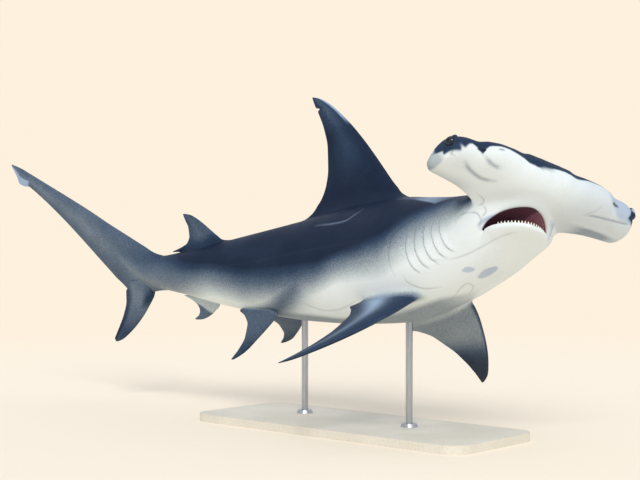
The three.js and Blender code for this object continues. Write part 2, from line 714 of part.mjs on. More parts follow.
// Fins.
for (const [name, rows, origin, around, steps, up] of [
  ["first_dorsal_fin", FIRST_DORSAL, FIRST_DORSAL_AT, 18, 18, 1],
  ["second_dorsal_fin", SECOND_DORSAL, SECOND_DORSAL_AT, 14, 15, 1],
  ["anal_fin", ANAL, ANAL_AT, 14, 13, -1],
]) {
  addPiece(name, middleFin(rows, origin, around, steps, up).subtract(whole), slateBack);
}
for (const [side, sign] of [
  ["right", 1],
  ["left", -1],
]) {
  const pectoral = pairedFin(PECTORAL, PECTORAL_SEATS[side], sign, 18, 18);
  addPiece("pectoral_fin_" + side, pectoral.subtract(whole), slateBack);
  const pelvic = pairedFin(PELVIC, PELVIC_SEATS[side], sign, 14, 14);
  addPiece("pelvic_fin_" + side, pelvic.subtract(whole), slateBack);
}

// Tail fin: both lobes and the end of the trunk between them, parted where the lower lobe starts.
const stockEnd = trunk(0.56, TAIL_ROOT, JOIN_GAP);
const tail = upperLobe(16, 22)
  .add(lowerLobe(16, 14))
  .add(trunk(TAIL_ROOT, TRUNK_END))
  .subtract(stockEnd);
const PARTING = { start: 0.69, run: 0.16, half: 0.05, height: 0.1 };
const PARTING_DEPTH = 0.03;

// A block that holds all that lies deeper than a depth under the root of the tail fin.
function below(depth) {
  return shaped(4, 6, (t, angle, reach) => {
    const corner = angle + Math.PI / 4;
    const right = Math.sign(Math.cos(corner)) * PARTING.half * reach;
    const up = -depth + PARTING.height * (Math.sign(Math.sin(corner)) * reach - 1);
    return pose(PARTING.start + PARTING.run * t, right, up);
  });
}
addPiece("tail_fin_upper", tail.subtract(below(PARTING_DEPTH)), slateBack);
addPiece("tail_fin_lower", tail.intersect(below(PARTING_DEPTH + JOIN_GAP / TOTAL_LENGTH)), slateBack);

// The stand: a flat base with rounded corners and two rods that run up to the belly, each with a
// collar at its foot.
function baseOutline() {
  const [x, y] = [BASE_SIZE.x / 2, BASE_SIZE.y / 2];
  const shape = new THREE.Shape();
  shape.moveTo(-x + BASE_CORNER, -y);
  shape.lineTo(x - BASE_CORNER, -y);
  shape.absarc(x - BASE_CORNER, -y + BASE_CORNER, BASE_CORNER, -Math.PI / 2, 0);
  shape.lineTo(x, y - BASE_CORNER);
  shape.absarc(x - BASE_CORNER, y - BASE_CORNER, BASE_CORNER, 0, Math.PI / 2);
  shape.lineTo(-x + BASE_CORNER, y);
  shape.absarc(-x + BASE_CORNER, y - BASE_CORNER, BASE_CORNER, Math.PI / 2, Math.PI);
  shape.lineTo(-x, -y + BASE_CORNER);
  shape.absarc(-x + BASE_CORNER, -y + BASE_CORNER, BASE_CORNER, Math.PI, Math.PI * 1.5);
  return shape;
}
const plate = new THREE.ExtrudeGeometry(baseOutline(), {
  depth: BASE_SIZE.z,
  bevelEnabled: false,
  curveSegments: 8,
});
addPiece("stand_base", solidOf(plate), stone);

for (const [name, along] of Object.entries(ROD_PLACES)) {
  const top = pose(along, 0, -trunkBelly(along) / 2);
  const foot = BASE_SIZE.z + JOIN_GAP;
  const rod = new THREE.CylinderGeometry(ROD_RADIUS, ROD_RADIUS, top.z - foot, 24);
  rod.rotateX(Math.PI / 2).translate(top.x, top.y, (top.z + foot) / 2);
  const collar = new THREE.CylinderGeometry(COLLAR_RADIUS - 6, COLLAR_RADIUS, COLLAR_HEIGHT, 24);
  collar.rotateX(Math.PI / 2).translate(top.x, top.y, foot + COLLAR_HEIGHT / 2);
  addPiece("stand_rod_" + name, solidOf(rod).subtract(whole).add(solidOf(collar)), steel);
}

export default shark;
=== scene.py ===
# Great hammerhead shark as a life-size display model: the animal's skin, eyes and teeth, and the
# stand that holds it. Metres, +Z up, +X towards the head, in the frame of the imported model.
import math
from math import pi, radians

import bmesh
import bpy
import numpy as np
from mathutils import Matrix, Vector
from mathutils.kdtree import KDTree


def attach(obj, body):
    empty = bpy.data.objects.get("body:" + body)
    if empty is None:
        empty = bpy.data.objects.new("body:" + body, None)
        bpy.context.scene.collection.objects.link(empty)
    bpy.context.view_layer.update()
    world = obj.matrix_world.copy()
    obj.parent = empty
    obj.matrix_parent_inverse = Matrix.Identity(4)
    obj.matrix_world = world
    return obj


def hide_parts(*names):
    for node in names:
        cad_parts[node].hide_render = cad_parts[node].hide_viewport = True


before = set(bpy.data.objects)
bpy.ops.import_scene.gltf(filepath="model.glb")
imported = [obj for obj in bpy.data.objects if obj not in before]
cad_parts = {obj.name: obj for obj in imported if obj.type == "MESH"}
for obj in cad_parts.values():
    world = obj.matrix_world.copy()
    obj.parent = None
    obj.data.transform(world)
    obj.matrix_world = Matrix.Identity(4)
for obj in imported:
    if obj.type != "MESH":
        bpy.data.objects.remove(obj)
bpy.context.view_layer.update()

# The swimming line: the animal's length along its body, bent into the pose. A place on it is how
# far behind the snout, to the right and up, in shares of the length. Rods hold it by the middle.
LENGTH = 3.6
HELD_AT = 0.3
HELD_POINT = np.array([0.13, 0.06, 0.73])

# Share of the length, heading to the left, nose-up pitch and roll of the right side upwards.
POSE = [
    (0, -10, 40, 25), (0.09, -10, 40, 25), (0.155, -3.8, 21, 11), (0.26, -9, 6, 2.5),
    (0.4, 2, 4.5, 2), (0.55, 6.5, 1, -7), (0.7, 2.5, 0.5, -10), (1, 2.5, 0.5, -10),
]


def reading(rows, column):
    """A smooth curve through one column of a table, which doesn't swing past its rows."""
    x = np.array([row[0] for row in rows], float)
    y = np.array([row[column] for row in rows], float)
    rise = np.diff(y) / np.diff(x)
    slope = np.concatenate([rise[:1], np.zeros(len(x) - 2), rise[-1:]])
    same_way = rise[:-1] * rise[1:] > 0
    both = np.where(same_way, rise[:-1] + rise[1:], 1)
    slope[1:-1] = np.where(same_way, 2 * rise[:-1] * rise[1:] / both, 0)

    def at(value):
        a = np.clip(np.asarray(value, float), x[0], x[-1])
        i = np.clip(np.searchsorted(x, a) - 1, 0, len(x) - 2)
        width = x[i + 1] - x[i]
        t = (a - x[i]) / width
        w = t * t * (3 - 2 * t)
        bulge = t * (1 - t) * ((1 - t) * slope[i] - t * slope[i + 1]) * width
        return y[i] * (1 - w) + y[i + 1] * w + bulge

    return at


def turned(a, b, turn):
    """Two directions at right angles, or lengths along them, turned about each other."""
    return a * np.cos(turn) + b * np.sin(turn), b * np.cos(turn) - a * np.sin(turn)


def own_axes(along):
    """Forwards, to the right and up, at a share of the length."""
    heading, pitch, roll = (np.radians(reading(POSE, k)(along)) for k in (1, 2, 3))
    level = np.zeros_like(heading)
    forward = np.stack(
        [np.cos(heading) * np.cos(pitch), np.sin(heading) * np.cos(pitch), np.sin(pitch)], -1
    )
    flat_right = np.stack([np.sin(heading), -np.cos(heading), level], -1)
    flat_up = np.cross(flat_right, forward)
    return forward, *turned(flat_right, flat_up, roll[..., None])


LINE_STEPS = 500
line_forward, line_right, line_up = own_axes(np.arange(LINE_STEPS + 1) / LINE_STEPS)
stride = -own_axes((np.arange(LINE_STEPS) + 0.5) / LINE_STEPS)[0] * LENGTH / LINE_STEPS
line = np.concatenate([np.zeros((1, 3)), np.cumsum(stride, 0)])
line += HELD_POINT - line[round(HELD_AT * LINE_STEPS)]


def posed(along, right, up):
    """Points in the pose, from shares of the length along, to the right and up."""
    along, right, up = np.broadcast_arrays(along, right, up)
    i = np.clip((along * LINE_STEPS).astype(int), 0, LINE_STEPS - 1)
    t = (along * LINE_STEPS - i)[..., None]
    w = np.clip(t, 0, 1)
    spot = line[i] * (1 - t) + line[i + 1] * t
    to_right = line_right[i] * (1 - w) + line_right[i + 1] * w
    to_up = line_up[i] * (1 - w) + line_up[i + 1] * w
    return spot + to_right * right[..., None] * LENGTH + to_up * up[..., None] * LENGTH


# The view: low beside the animal's right shoulder, a little ahead of it, so that the raised head
# shows its underside. Focal length and distance are those of the reference picture.
VIEW_TURN = radians(42)
VIEW_ASIDE, VIEW_ABOVE, VIEW_AWAY = -0.294, 0.097, 5.657
PICTURE_WIDTH, FOCAL_PIXELS, SENSOR = 640, 1308, 36
upright = np.array([0, 0, 1])
view_right = np.array([math.cos(VIEW_TURN), math.sin(VIEW_TURN), 0])
view_back = np.cross(view_right, upright)
view_from = HELD_POINT + VIEW_ASIDE * view_right + VIEW_ABOVE * upright + VIEW_AWAY * view_back


def placed(name, data):
    """An object of the scene."""
    thing = bpy.data.objects.new(name, data)
    bpy.context.scene.collection.objects.link(thing)
    return thing


camera = placed("camera", bpy.data.cameras.new("camera"))
camera.data.sensor_width = SENSOR
camera.data.lens = SENSOR * FOCAL_PIXELS / PICTURE_WIDTH
camera.data.clip_end = 100
axes = np.stack([view_right, upright, view_back, view_from], 1)
camera.matrix_world = Matrix([*axes.tolist(), [0, 0, 0, 1]])
bpy.context.scene.camera = camera


# Trunk: one long body of muscle, deepest under the first dorsal fin, an oval in section that is a
# little fuller along the belly. Each row gives a share of the length, half the width, the height
# of the back, the depth of the belly, and how far the middle rises.
def thousandths(rows):
    return np.array(rows) / 1000


TRUNK = thousandths([
    (20, 22, 9, 12, 0), (40, 32, 19, 21, 0), (70, 43, 28, 30, 0), (95, 49.5, 36, 39, 0),
    (112, 51.5, 42, 45.5, 0), (160, 54.5, 56, 54.5, 0), (210, 60.5, 67, 64, 0),
    (270, 63.5, 74.5, 73.5, 0), (340, 61.5, 73.5, 72.2, 0), (420, 54, 64.5, 65.8, 0),
    (500, 44, 53, 55.5, 0), (580, 32.5, 39, 42.5, 0), (640, 23.5, 28.5, 31, 0),
    (690, 16.5, 21.5, 23.5, 0), (720, 13, 18.5, 19, 4), (760, 8.5, 12.5, 13, 24),
    (800, 5, 8, 8, 47),
])
trunk_side, trunk_back, trunk_belly, trunk_rise = (reading(TRUNK, k) for k in range(1, 5))
BELLY_FULLNESS = 0.85
MILLIMETRE = 0.001 / LENGTH
# The turn of the head pushes the cheek on its outer side, the left, out over the jaw's corner.
CHEEK, CHEEK_AT, CHEEK_RUN = 0.007, 0.099, 0.014


def bump(value, middle, width):
    return np.exp(-(((value - middle) / width) ** 2))


def trunk_skin(along, angle, relief=0):
    """A point on the trunk: angle 0 is its right side, a quarter turn its back."""
    cos, sin = np.cos(angle), np.sin(angle)
    above = sin * (trunk_back(along) + relief)
    below = -(np.abs(sin) ** BELLY_FULLNESS) * (trunk_belly(along) + relief)
    up = trunk_rise(along) + np.where(sin > 0, above, below)
    cheek = CHEEK * bump(along, CHEEK_AT, CHEEK_RUN) * np.clip(-cos, 0, 1)
    return posed(along, cos * (trunk_side(along) + relief) - cheek, up)


def ramp(value, low, high):
    t = np.clip((value - low) / (high - low), 0, 1)
    return t * t * (3 - 2 * t)


# Gills: five slits on each side of the neck, each under the free edge of the flap of skin before
# it. They stand nearly upright and get shorter towards the fin.
GILL_FIRST, GILL_LAST, GILLS = 0.157, 0.204, 5
GILL_LOW, GILL_HIGH, GILL_SHORTER = radians(-27), radians(23), radians(7)
GILL_BOW, GILL_LEAN, GILL_TAPER = 0.006, 0.004, (-0.04, 0.2)
FLAP_RISE, FLAP_CARRIED, SLIT_DEPTH = 3.2 * MILLIMETRE, 6 * MILLIMETRE, 6 * MILLIMETRE
FLAP_RUN, FLAP_CURL, SLIT_RUN, SLIT_AT, SLIT_WIDE = 24, 9, 9, 3.5, 3.6


def gills(along, angle):
    """How far the gills raise the skin and carry it back, and how dark the painted shade in the
    slits is.
    """
    side = np.where(np.cos(angle) > 0, angle, pi - angle)
    side = (side + pi) % (2 * pi) - pi
    raised, carried, dark = np.zeros_like(along), np.zeros_like(along), np.zeros_like(along)
    for i in range(GILLS):
        share = i / (GILLS - 1)
        place = (side - GILL_LOW) / (GILL_HIGH - GILL_SHORTER * share - GILL_LOW)
        inside = ramp(place, *GILL_TAPER) * ramp(1 - place, *GILL_TAPER)
        lean = GILL_BOW * (2 * place - 1) ** 2 - GILL_LEAN * (2 * place - 1)
        behind = (along - (GILL_FIRST + (GILL_LAST - GILL_FIRST) * share - lean)) * LENGTH * 1000
        flap = ramp(behind, -FLAP_RUN, -1) * (behind <= 0)
        slit = np.exp(-np.clip(behind, 0, None) / SLIT_RUN) * ramp(behind, 0, 3)
        raised += inside * (FLAP_RISE * flap - SLIT_DEPTH * slit)
        carried += inside * FLAP_CARRIED * ramp(behind, -FLAP_CURL, -0.5) * (behind <= 0)
        dark = np.maximum(dark, inside * bump(behind, SLIT_AT, SLIT_WIDE))
    return raised, carried, dark


def keep_mark(mesh, name, values):
    mark = mesh.attributes.new(name, "FLOAT", "POINT")
    mark.data.foreach_set("value", np.asarray(values, np.float32))


def closed_mesh(name, rings, **marks):
    """A closed mesh from rings of points, capped at both ends, with marks kept on its points."""
    count, around = rings.shape[:2]
    points = np.concatenate([rings.reshape(-1, 3), rings[:1].mean(1), rings[-1:].mean(1)])
    here = np.arange(count * around).reshape(count, around)
    after = np.roll(here, -1, 1)
    quads = np.stack([here[:-1], after[:-1], after[1:], here[1:]], -1).reshape(-1, 4)
    first, last = np.full((2, around), [[count * around], [count * around + 1]])
    caps = np.stack([[first, after[0], here[0]], [last, here[-1], after[-1]]])
    caps = caps.transpose(0, 2, 1).reshape(-1, 3)
    a, b, c, d = points[quads].transpose(1, 0, 2)
    if (a * (np.cross(b, c) + np.cross(c, d))).sum() < 0:
        quads, caps = quads[:, ::-1], caps[:, ::-1]
    mesh = bpy.data.meshes.new(name)
    mesh.from_pydata(points.tolist(), [], quads.tolist() + caps.tolist())
    for mark, values in marks.items():
        values = np.broadcast_to(values, (count, around))
        keep_mark(mesh, mark, np.append(values, [values[0].mean(), values[-1].mean()]))
    mesh.shade_smooth()
    return placed(name, mesh)


# Every part of the skin keeps its place along, to the right and up, for the paint; how much it is a
# fin's blade, how dark that is and how much painted highlight it has; how wet it is and how dark
# the painted shade in its slits is.
MARKS = ("along", "right", "up", "blade", "shade", "sheen", "wet", "slit")


def flesh_mesh(name, spot, rings=None, **marks):
    """A closed mesh of flesh: its places on the body, and its points where these aren't posed."""
    marks = dict.fromkeys(MARKS, 0.0) | dict(zip(MARKS, spot)) | marks
    return closed_mesh(name, posed(*spot) if rings is None else rings, **marks)


def grid(steps, around):
    """For each point of a piece's rings, its step along the piece and its turn round it."""
    return np.meshgrid(steps, np.arange(around) * 2 * pi / around, indexing="ij")


TRUNK_ROUND = 300
RINGS = [(0.02, 0.15, 0.0012), (0.15, 0.222, 0.0008), (0.2225, 0.44, 0.0015), (0.44, 0.8, 0.002)]
along, angle = grid(np.concatenate([np.arange(*rings) for rings in RINGS]), TRUNK_ROUND)
raised, carried, slit_and_groove_shade = gills(along, angle)
# The side line, a fine groove from the neck to the tail, and the pit above the root of the tail.
LINE_DEPTH, LINE_SHADE, SLIT_SHADE = 0.8 * MILLIMETRE, 0.3, 0.42
PIT_AT, PIT_LONG, PIT_DEPTH = 0.693, 0.0035, 6 * MILLIMETRE
side_line = bump(np.abs(np.cos(angle)) - 0.955, 0, 0.008) * (np.sin(angle) > 0)
side_line = side_line * ramp(along, 0.24, 0.3) * ramp(0.69 - along, 0, 0.05)
pit = bump(along, PIT_AT, PIT_LONG) * ramp(np.sin(angle), 0.75, 0.97)
relief = raised - LINE_DEPTH * side_line - PIT_DEPTH * pit
above, below = np.clip(np.sin(angle), 0, None), np.clip(-np.sin(angle), 0, None)
lift = above * trunk_back(along) - below**BELLY_FULLNESS * trunk_belly(along)
back = line_forward[(along * LINE_STEPS).astype(int)] * -LENGTH
spot = along + carried, np.cos(angle) * trunk_side(along), trunk_rise(along) + lift
rings = trunk_skin(along, angle, relief) + back * carried[..., None]
# Painted shade: the gill slits and the groove of the side line are darkened where shadow falls in
# them.
slit_and_groove_shade = np.maximum(slit_and_groove_shade * SLIT_SHADE, LINE_SHADE * side_line)
trunk = flesh_mesh("trunk", spot, rings, slit=slit_and_groove_shade)


# Hammer: a flat, wide wing of gristle across the snout, notched in the middle of its front edge,
# with an eye at each end. Rows give the distance out from the middle, the front edge, the rear
# edge, the thickness and the height of the middle plane.
HAMMER = thousandths([
    (0, 19, 100, 46, -2), (20, 17.8, 100, 44, -2), (33, 19.7, 100, 41, -3),
    (47, 18, 97.5, 37, -4), (62, 17.5, 90, 33, -5), (76, 19.5, 84.5, 30, -6),
    (88, 24.7, 82, 28, -6), (100, 25.5, 80.5, 27.5, -6), (109, 28.5, 79.5, 28.5, -6),
    (116.5, 34.5, 78.5, 28.5, -6), (123.5, 49, 75.5, 26, -6),
])
HAMMER_REACH, HAMMER_ROUND = 0.1235, 0.009
hammer_front, hammer_rear, hammer_thick, hammer_level = (reading(HAMMER, k) for k in range(1, 5))


def foil(share):
    """Half thickness, at most 1, of a thin section from its front edge, 0, to its rear edge, 1."""
    rest = ((-0.1036 * share + 0.2843) * share - 0.3516) * share - 0.126
    return 10 * (0.2969 * np.sqrt(share) + share * rest)


def hammer_skin(sweep, angle):
    """A point of the hammer: sweep goes from -1 at its left end to 1, angle 0 is its front edge."""
    right = np.sign(sweep) * np.abs(sweep) ** 0.85 * HAMMER_REACH * 0.9985
    out = np.abs(right)
    past = np.clip((out - (HAMMER_REACH - HAMMER_ROUND)) / HAMMER_ROUND, 0, 1)
    end = np.sqrt(1 - past**2)
    front, rear = hammer_front(out), hammer_rear(out)
    half = (rear - front) / 2 * (0.6 + 0.4 * end)
    share = (1 - np.cos(angle)) / 2
    blunt = 0.55 * foil(share) + 0.45 * np.abs(np.sin(angle)) ** 0.8
    thick = hammer_thick(out) / 2 * blunt * (0.15 + 0.85 * end)
    up = hammer_level(out) + np.sign(np.sin(angle)) * thick
    return (front + rear) / 2 - np.cos(angle) * half, right, up


sweep, angle = grid(np.sin(np.linspace(-pi / 2, pi / 2, 321)), 168)
hammer = flesh_mesh("hammer", hammer_skin(sweep, angle))

# Lids stand round the eyes at the hammer's ends, over sockets; the nostrils are slits in its front.
# Each row is a place, a radius, how it is stretched, how dark the painted shade in its hollow is,
# and how it joins the head.
EYE = EYE_ALONG, EYE_OUT, EYE_UP = 0.0362, 0.1135, -0.0045
NOSTRIL, EYE_RADIUS, EYE_STRETCH = (0.0252, 0.0862, -0.0125), 0.0065, (1, 1.15, 1)
BALL_STEPS, BALL_ROUND, POLE = 64, 96, 0.02
FACE_WORK = [
    ("lid", EYE, EYE_RADIUS, (1.34, 0.62, 1.2), 0, "UNION", 0.01),
    ("socket", EYE, EYE_RADIUS + 0.6 * MILLIMETRE, EYE_STRETCH, 0.8, "DIFFERENCE", 0.002),
    ("nostril", NOSTRIL, 0.0055, (0.4, 1, 0.22), 0.9, "DIFFERENCE", 0.005),
]


def ball_spot(sign, along, out, up, radius, stretch):
    """Places on a stretched ball: sizes forwards, outwards and up; its poles point outwards."""
    t, turn = grid(np.linspace(POLE, pi - POLE, BALL_STEPS), BALL_ROUND)
    ahead, outwards, above = np.sin(t) * np.cos(turn), np.cos(t), np.sin(t) * np.sin(turn)
    return (
        along - ahead * radius * stretch[0],
        sign * (out + outwards * radius * stretch[1]),
        up + above * radius * stretch[2],
    )


def level_rings(spot, centre_along):
    """The ball's points, set level with the body at its middle, so that it isn't bent."""
    along, right, up = (way[..., None] for way in spot)
    i = round(centre_along * LINE_STEPS)
    rings = (centre_along - along) * line_forward[i] + right * line_right[i] + up * line_up[i]
    return rings * LENGTH + posed(centre_along, 0.0, 0.0)


face_work = []
for sign in (1, -1):
    for name, place, radius, stretch, dark, operation, soften in FACE_WORK:
        spot = ball_spot(sign, *place, radius, stretch)
        tool = flesh_mesh(name, spot, level_rings(spot, place[0]), slit=dark)
        face_work.append((tool, operation, soften))


# Mouth: an arch under the head, cut open, with a dome for its roof that runs back into the throat.
# A wet membrane lines it; the turn of the head pulls its left side out.
MOUTH_FRONT, MOUTH_CORNER, MOUTH_HALF, MOUTH_END = 0.0595, 0.105, 0.0365, 0.13


def arch(along, front, corner, half):
    ahead = np.clip((corner - along) / (corner - front), 0, 1)
    return half * np.sqrt(1 - ahead**2)


t, angle = grid(np.linspace(0, 1, 90), 120)
along = MOUTH_FRONT + (MOUTH_END - MOUTH_FRONT) * (1 - np.cos(t * pi / 2)) ** 1.2
inside = np.clip((along - MOUTH_CORNER) / (MOUTH_END - MOUTH_CORNER), 0, 1)
half = np.maximum(0.002, arch(along, MOUTH_FRONT, MOUTH_CORNER, MOUTH_HALF)) * (1 - 0.45 * inside)
deep = np.clip((along - MOUTH_FRONT) / (MOUTH_CORNER - MOUTH_FRONT), 0, 1)
roof = -0.029 + 0.016 * np.sqrt(deep) - 0.006 * inside
ground = np.where(along < MOUTH_CORNER, -0.075, -0.075 + 0.045 * np.clip(inside * 6, 0, 1))
sin, cos = np.sin(angle), np.cos(angle)
up = (roof + ground) / 2 + np.sign(sin) * np.abs(sin) ** 0.5 * (roof - ground) / 2
right = np.sign(cos) * np.abs(cos) ** 0.8 * half
right = right * np.where(cos < 0, 1.13 - 0.13 * ramp(along, 0.085, 0.105), 1)
mouth = flesh_mesh("mouth", (along, right, up), wet=1.0)


# Lower jaw: a rounded trough of gristle that hangs open from the mouth's corners. Behind them its
# floor runs on under the throat, into the belly.
JAW_FRONT, JAW_CORNER, JAW_HALF, JAW_END = 0.0625, 0.106, 0.0358, 0.2
JAW_HINGE, JAW_OPEN, JAW_LIP, JAW_TROUGH = 0.103, radians(24), -0.0335, 0.004
JAW_WIDE = [(0.106, 0.0358), (0.2, 0.0365)]
JAW_FLOOR = thousandths([
    (62.5, -53.5), (66, -54.8), (75, -53.8), (90, -50.8), (110, -49), (135, -51), (165, -54.5),
    (200, -59),
])
jaw_floor, jaw_wide = reading(JAW_FLOOR, 1), reading(JAW_WIDE, 1)


def lip_height(along):
    return JAW_LIP - np.clip(JAW_HINGE - along, 0, None) * math.tan(JAW_OPEN)


t, angle = grid(np.linspace(0, 1, 170), 140)
along = JAW_FRONT + 0.0003 + (JAW_END - JAW_FRONT) * (1 - np.cos(t * pi / 2)) ** 1.1
half = np.where(along < JAW_CORNER, arch(along, JAW_FRONT, JAW_CORNER, JAW_HALF), jaw_wide(along))
sin, cos = np.sin(angle), np.cos(angle)
lip = lip_height(along)
trough = JAW_TROUGH * sin**2 * np.clip((along - JAW_FRONT) / 0.01, 0, 1)
boxy = 0.78 + 0.22 * ramp(along, 0.08, 0.12)
up = np.where(sin > 0, lip - trough, lip + np.abs(sin) ** boxy * (jaw_floor(along) - lip))
right = np.sign(cos) * np.abs(cos) ** boxy * np.maximum(0.004, half)
jaw = flesh_mesh("jaw", (along, right, up), wet=ramp(sin, 0.3, 0.55))


# Fins on the middle line: stiff blades with a thick, rounded front edge and a thin rear edge that
# is drawn out into a free tip. Rows give height above the root, front edge, rear edge, thickness.
FIRST_DORSAL = thousandths([
    (-20, 4, 158, 24), (0, 0, 172, 22), (4.5, 6, 168, 18.5), (11, 13.5, 157, 16.5),
    (22, 24.5, 144.5, 15), (38, 37.5, 136, 13.5), (57, 52.5, 132, 12), (84, 74.5, 131.5, 10),
    (108, 95.5, 136, 8), (131, 117.5, 144.5, 6.2), (143, 131.5, 150, 4.5),
    (150, 142.5, 152.5, 2.5), (153.5, 151, 153.5, 0.8),
])
SECOND_DORSAL = thousandths([
    (-12, 4, 70, 12), (0, 0, 78, 10.5), (3, 6, 100, 8.5), (6.5, 11, 79, 7.5), (11, 16.5, 69.5, 7),
    (20, 26, 64.5, 6), (30, 36.5, 64.5, 5), (40, 48, 68, 3.8), (47, 58.5, 70.5, 2.5),
    (50.5, 68.5, 71.5, 0.8),
])
ANAL = thousandths([
    (-12, 4, 45, 12), (0, 0, 50, 9.5), (3, 3, 68, 8), (6.5, 5.5, 56, 7.5), (12, 11.5, 44.5, 6.5),
    (19, 19, 41.5, 5.5), (25.5, 28, 44, 4), (31.2, 39.5, 50.5, 2.2), (33.5, 49, 53, 0.8),
])
FIN_EDGE, FIN_STEPS, FIN_ROUND = 1.1 * MILLIMETRE, 110, 72
NICK_AT, NICK_HIGH, NICK_DEPTH = 0.1362, 0.0016, 0.0048


def fin(name, rows, place, paint, nick=0):
    """A fin, its points set by place(back, height, side), its shade and painted highlight by paint.
    """
    t, angle = grid(np.linspace(0, 1, FIN_STEPS), FIN_ROUND)
    height = rows[0][0] + (rows[-1][0] - rows[0][0]) * np.sin(t * pi / 2) ** 0.9
    share = (1 - np.cos(angle)) / 2
    front, rear, thick = (reading(rows, k)(height) for k in (1, 2, 3))
    rear = rear - nick * bump(height, NICK_AT, NICK_HIGH)
    side = np.sign(np.round(np.sin(angle), 9))
    half = thick / 2 * foil(share) + FIN_EDGE * share * np.abs(np.sin(angle))
    spot, rings = place(front + (rear - front) * share, height, side * half)
    shade, sheen = paint(height / rows[-1][0], share, side)
    return flesh_mesh(name, spot, rings, blade=1.0, shade=shade, sheen=sheen)


def middle_fin(origin, way):
    def place(back, height, side):
        along = origin + back
        skin = trunk_back(along) if way > 0 else -trunk_belly(along)
        return (along, side, trunk_rise(along) + skin + way * height), None

    return place


# A fin's paint gives its darkness and a painted highlight in pale blue; here the painted highlight
# runs along the front edge near the tip.
def first_dorsal_paint(height, share, side):
    pale = 0.13 * bump(share, 0.42, 0.3) * ramp(height, 0.1, 0.5) + 0.13 * ramp(height, 0.6, 0.85)
    edge = 1 - ramp(share, 0.02, 0.1 + 0.1 * ramp(height, 0.8, 1))
    return 1 - pale, 0.85 * ramp(height, 0.66, 0.78) * edge


def second_dorsal_paint(height, share, side):
    return 0.97 - 0.2 * ramp(height, 0, 0.4) - 0.07 * bump(share, 0.5, 0.25), 0.0


def anal_paint(height, share, side):
    edge = height - 0.25 * (1 - share)
    return 0.28 + 0.4 * ramp(edge, 0.2, 0.34), 0.0


FIRST_AT, SECOND_AT, ANAL_AT = 0.262, 0.5635, 0.583
first_place = middle_fin(FIRST_AT, 1)
first_dorsal = fin("first_dorsal", FIRST_DORSAL, first_place, first_dorsal_paint, NICK_DEPTH)
second_dorsal = fin("second_dorsal", SECOND_DORSAL, middle_fin(SECOND_AT, 1), second_dorsal_paint)
anal = fin("anal", ANAL, middle_fin(ANAL_AT, -1), anal_paint)


# Tail fin: a long upper lobe along its own raised axis, with a notch under its tip, and a short
# lower lobe, both stiff blades that grow out of the tail stock.
TAIL_ROOT, TAIL_RAISE = 0.7, radians(30)
UPPER_LOBE = thousandths([
    (-30, -12, 12, 26), (0, -23.5, 30, 24), (20, -22.5, 56, 21), (45, -21, 56, 18.5),
    (70, -19.5, 50, 16.5), (110, -17, 41.5, 14), (150, -15.5, 33, 11.5), (200, -12.2, 23.5, 8.5),
    (250, -8.2, 16.8, 6), (281, -5.8, 14.5, 4.5), (292, -5, 19, 4), (303, -4.2, 20.8, 3.5),
    (313, -2.5, 13, 2.5), (328.5, 0.5, 3.5, 0.8),
])
LOWER_LOBE = thousandths([
    (5, 12, 75, 20), (22, 1, 73, 16.5), (30, 8, 69, 15), (43, 19, 70.5, 12.5),
    (62, 37, 79.5, 9.5), (80, 58, 92, 7), (93, 77, 102, 4.5), (100, 89.5, 106.5, 2.5),
    (103.5, 100, 104.5, 0.8),
])


def upper_place(across, out, side):
    back, down = turned(out, across, TAIL_RAISE)
    return (TAIL_ROOT + back, side, -down), None


def lower_place(back, depth, side):
    return (TAIL_ROOT + back, side, -depth), None


# A painted highlight in pale blue lies along the rear margin near the tip.
def upper_paint(height, share, side):
    pale = 0.1 * bump(share, 0.5, 0.3) + 0.06 * ramp(height, 0.1, 0.5)
    sheen = ramp(height, 0.855, 0.875) * ramp(share, 0.45, 0.6)
    return 0.75 - pale, sheen


def lower_paint(height, share, side):
    dark = 0.22 * ramp(height, 0.4, 0.95) + 0.24 * ramp(share, 0.6, 0.9)
    dark = dark + 0.24 * (1 - ramp(share, 0.1, 0.3)) * (1 - ramp(height, 0.38, 0.55))
    return 0.62 + dark, 0.0


upper_lobe = fin("upper_lobe", UPPER_LOBE, upper_place, upper_paint)
lower_lobe = fin("lower_lobe", LOWER_LOBE, lower_place, lower_paint)


# Pectoral and pelvic fins: paired blades low on the flanks. Each seat is the middle of the root,
# then the angle it droops below level, how far its front edge is raised, how far it is swept back,
# and how much it curves up.
PECTORAL = thousandths([
    (-35, 6, 64, 19), (0, 0, 68, 16.5), (10, 4, 78, 15), (22, 9.5, 98, 13.5), (30, 13, 112, 12.5),
    (39, 17, 104, 11.5), (58, 25.5, 95.5, 10), (86, 42.5, 94.5, 8.2), (114, 63, 99.5, 6.2),
    (140, 86.2, 108.5, 4.4), (156, 103.5, 116, 2.8), (163, 115.5, 119.5, 0.8),
])
PELVIC = thousandths([
    (-18, 4, 54, 12), (0, 0, 56, 10.5), (5.5, 4, 67, 9.5), (12, 8.5, 78, 8.5), (17.5, 13, 68, 8),
    (29, 23, 60, 6.5), (45, 39, 62, 5), (60.5, 56, 71.5, 3.4), (71, 72.5, 81.5, 2),
    (75.5, 82, 86, 0.8),
])


def paired_fin(rows, sign, seat):
    seat_along, out, up, *lean, curl = seat
    droop, lead, swing = (radians(turn) for turn in lean)
    i = round(seat_along * LINE_STEPS)
    right, back = line_right[i] * sign, -line_forward[i]
    top, outwards = turned(line_up[i], right, droop)
    span, back = turned(outwards, back, swing)
    top, chord = turned(top, back, lead)
    root = posed(seat_along, sign * out, up)
    half_root = rows[1][2] / 2

    def place(chord_at, height, side):
        lift = side + curl * np.clip(height, 0, None) ** 2
        chord_at, height, lift = (way[..., None] for way in (chord_at - half_root, height, lift))
        at = chord_at * chord + height * span + lift * top
        right = sign * out + at @ line_right[i]
        spot = seat_along - at @ line_forward[i], right, up + at @ line_up[i]
        return spot, root + at * LENGTH

    return place
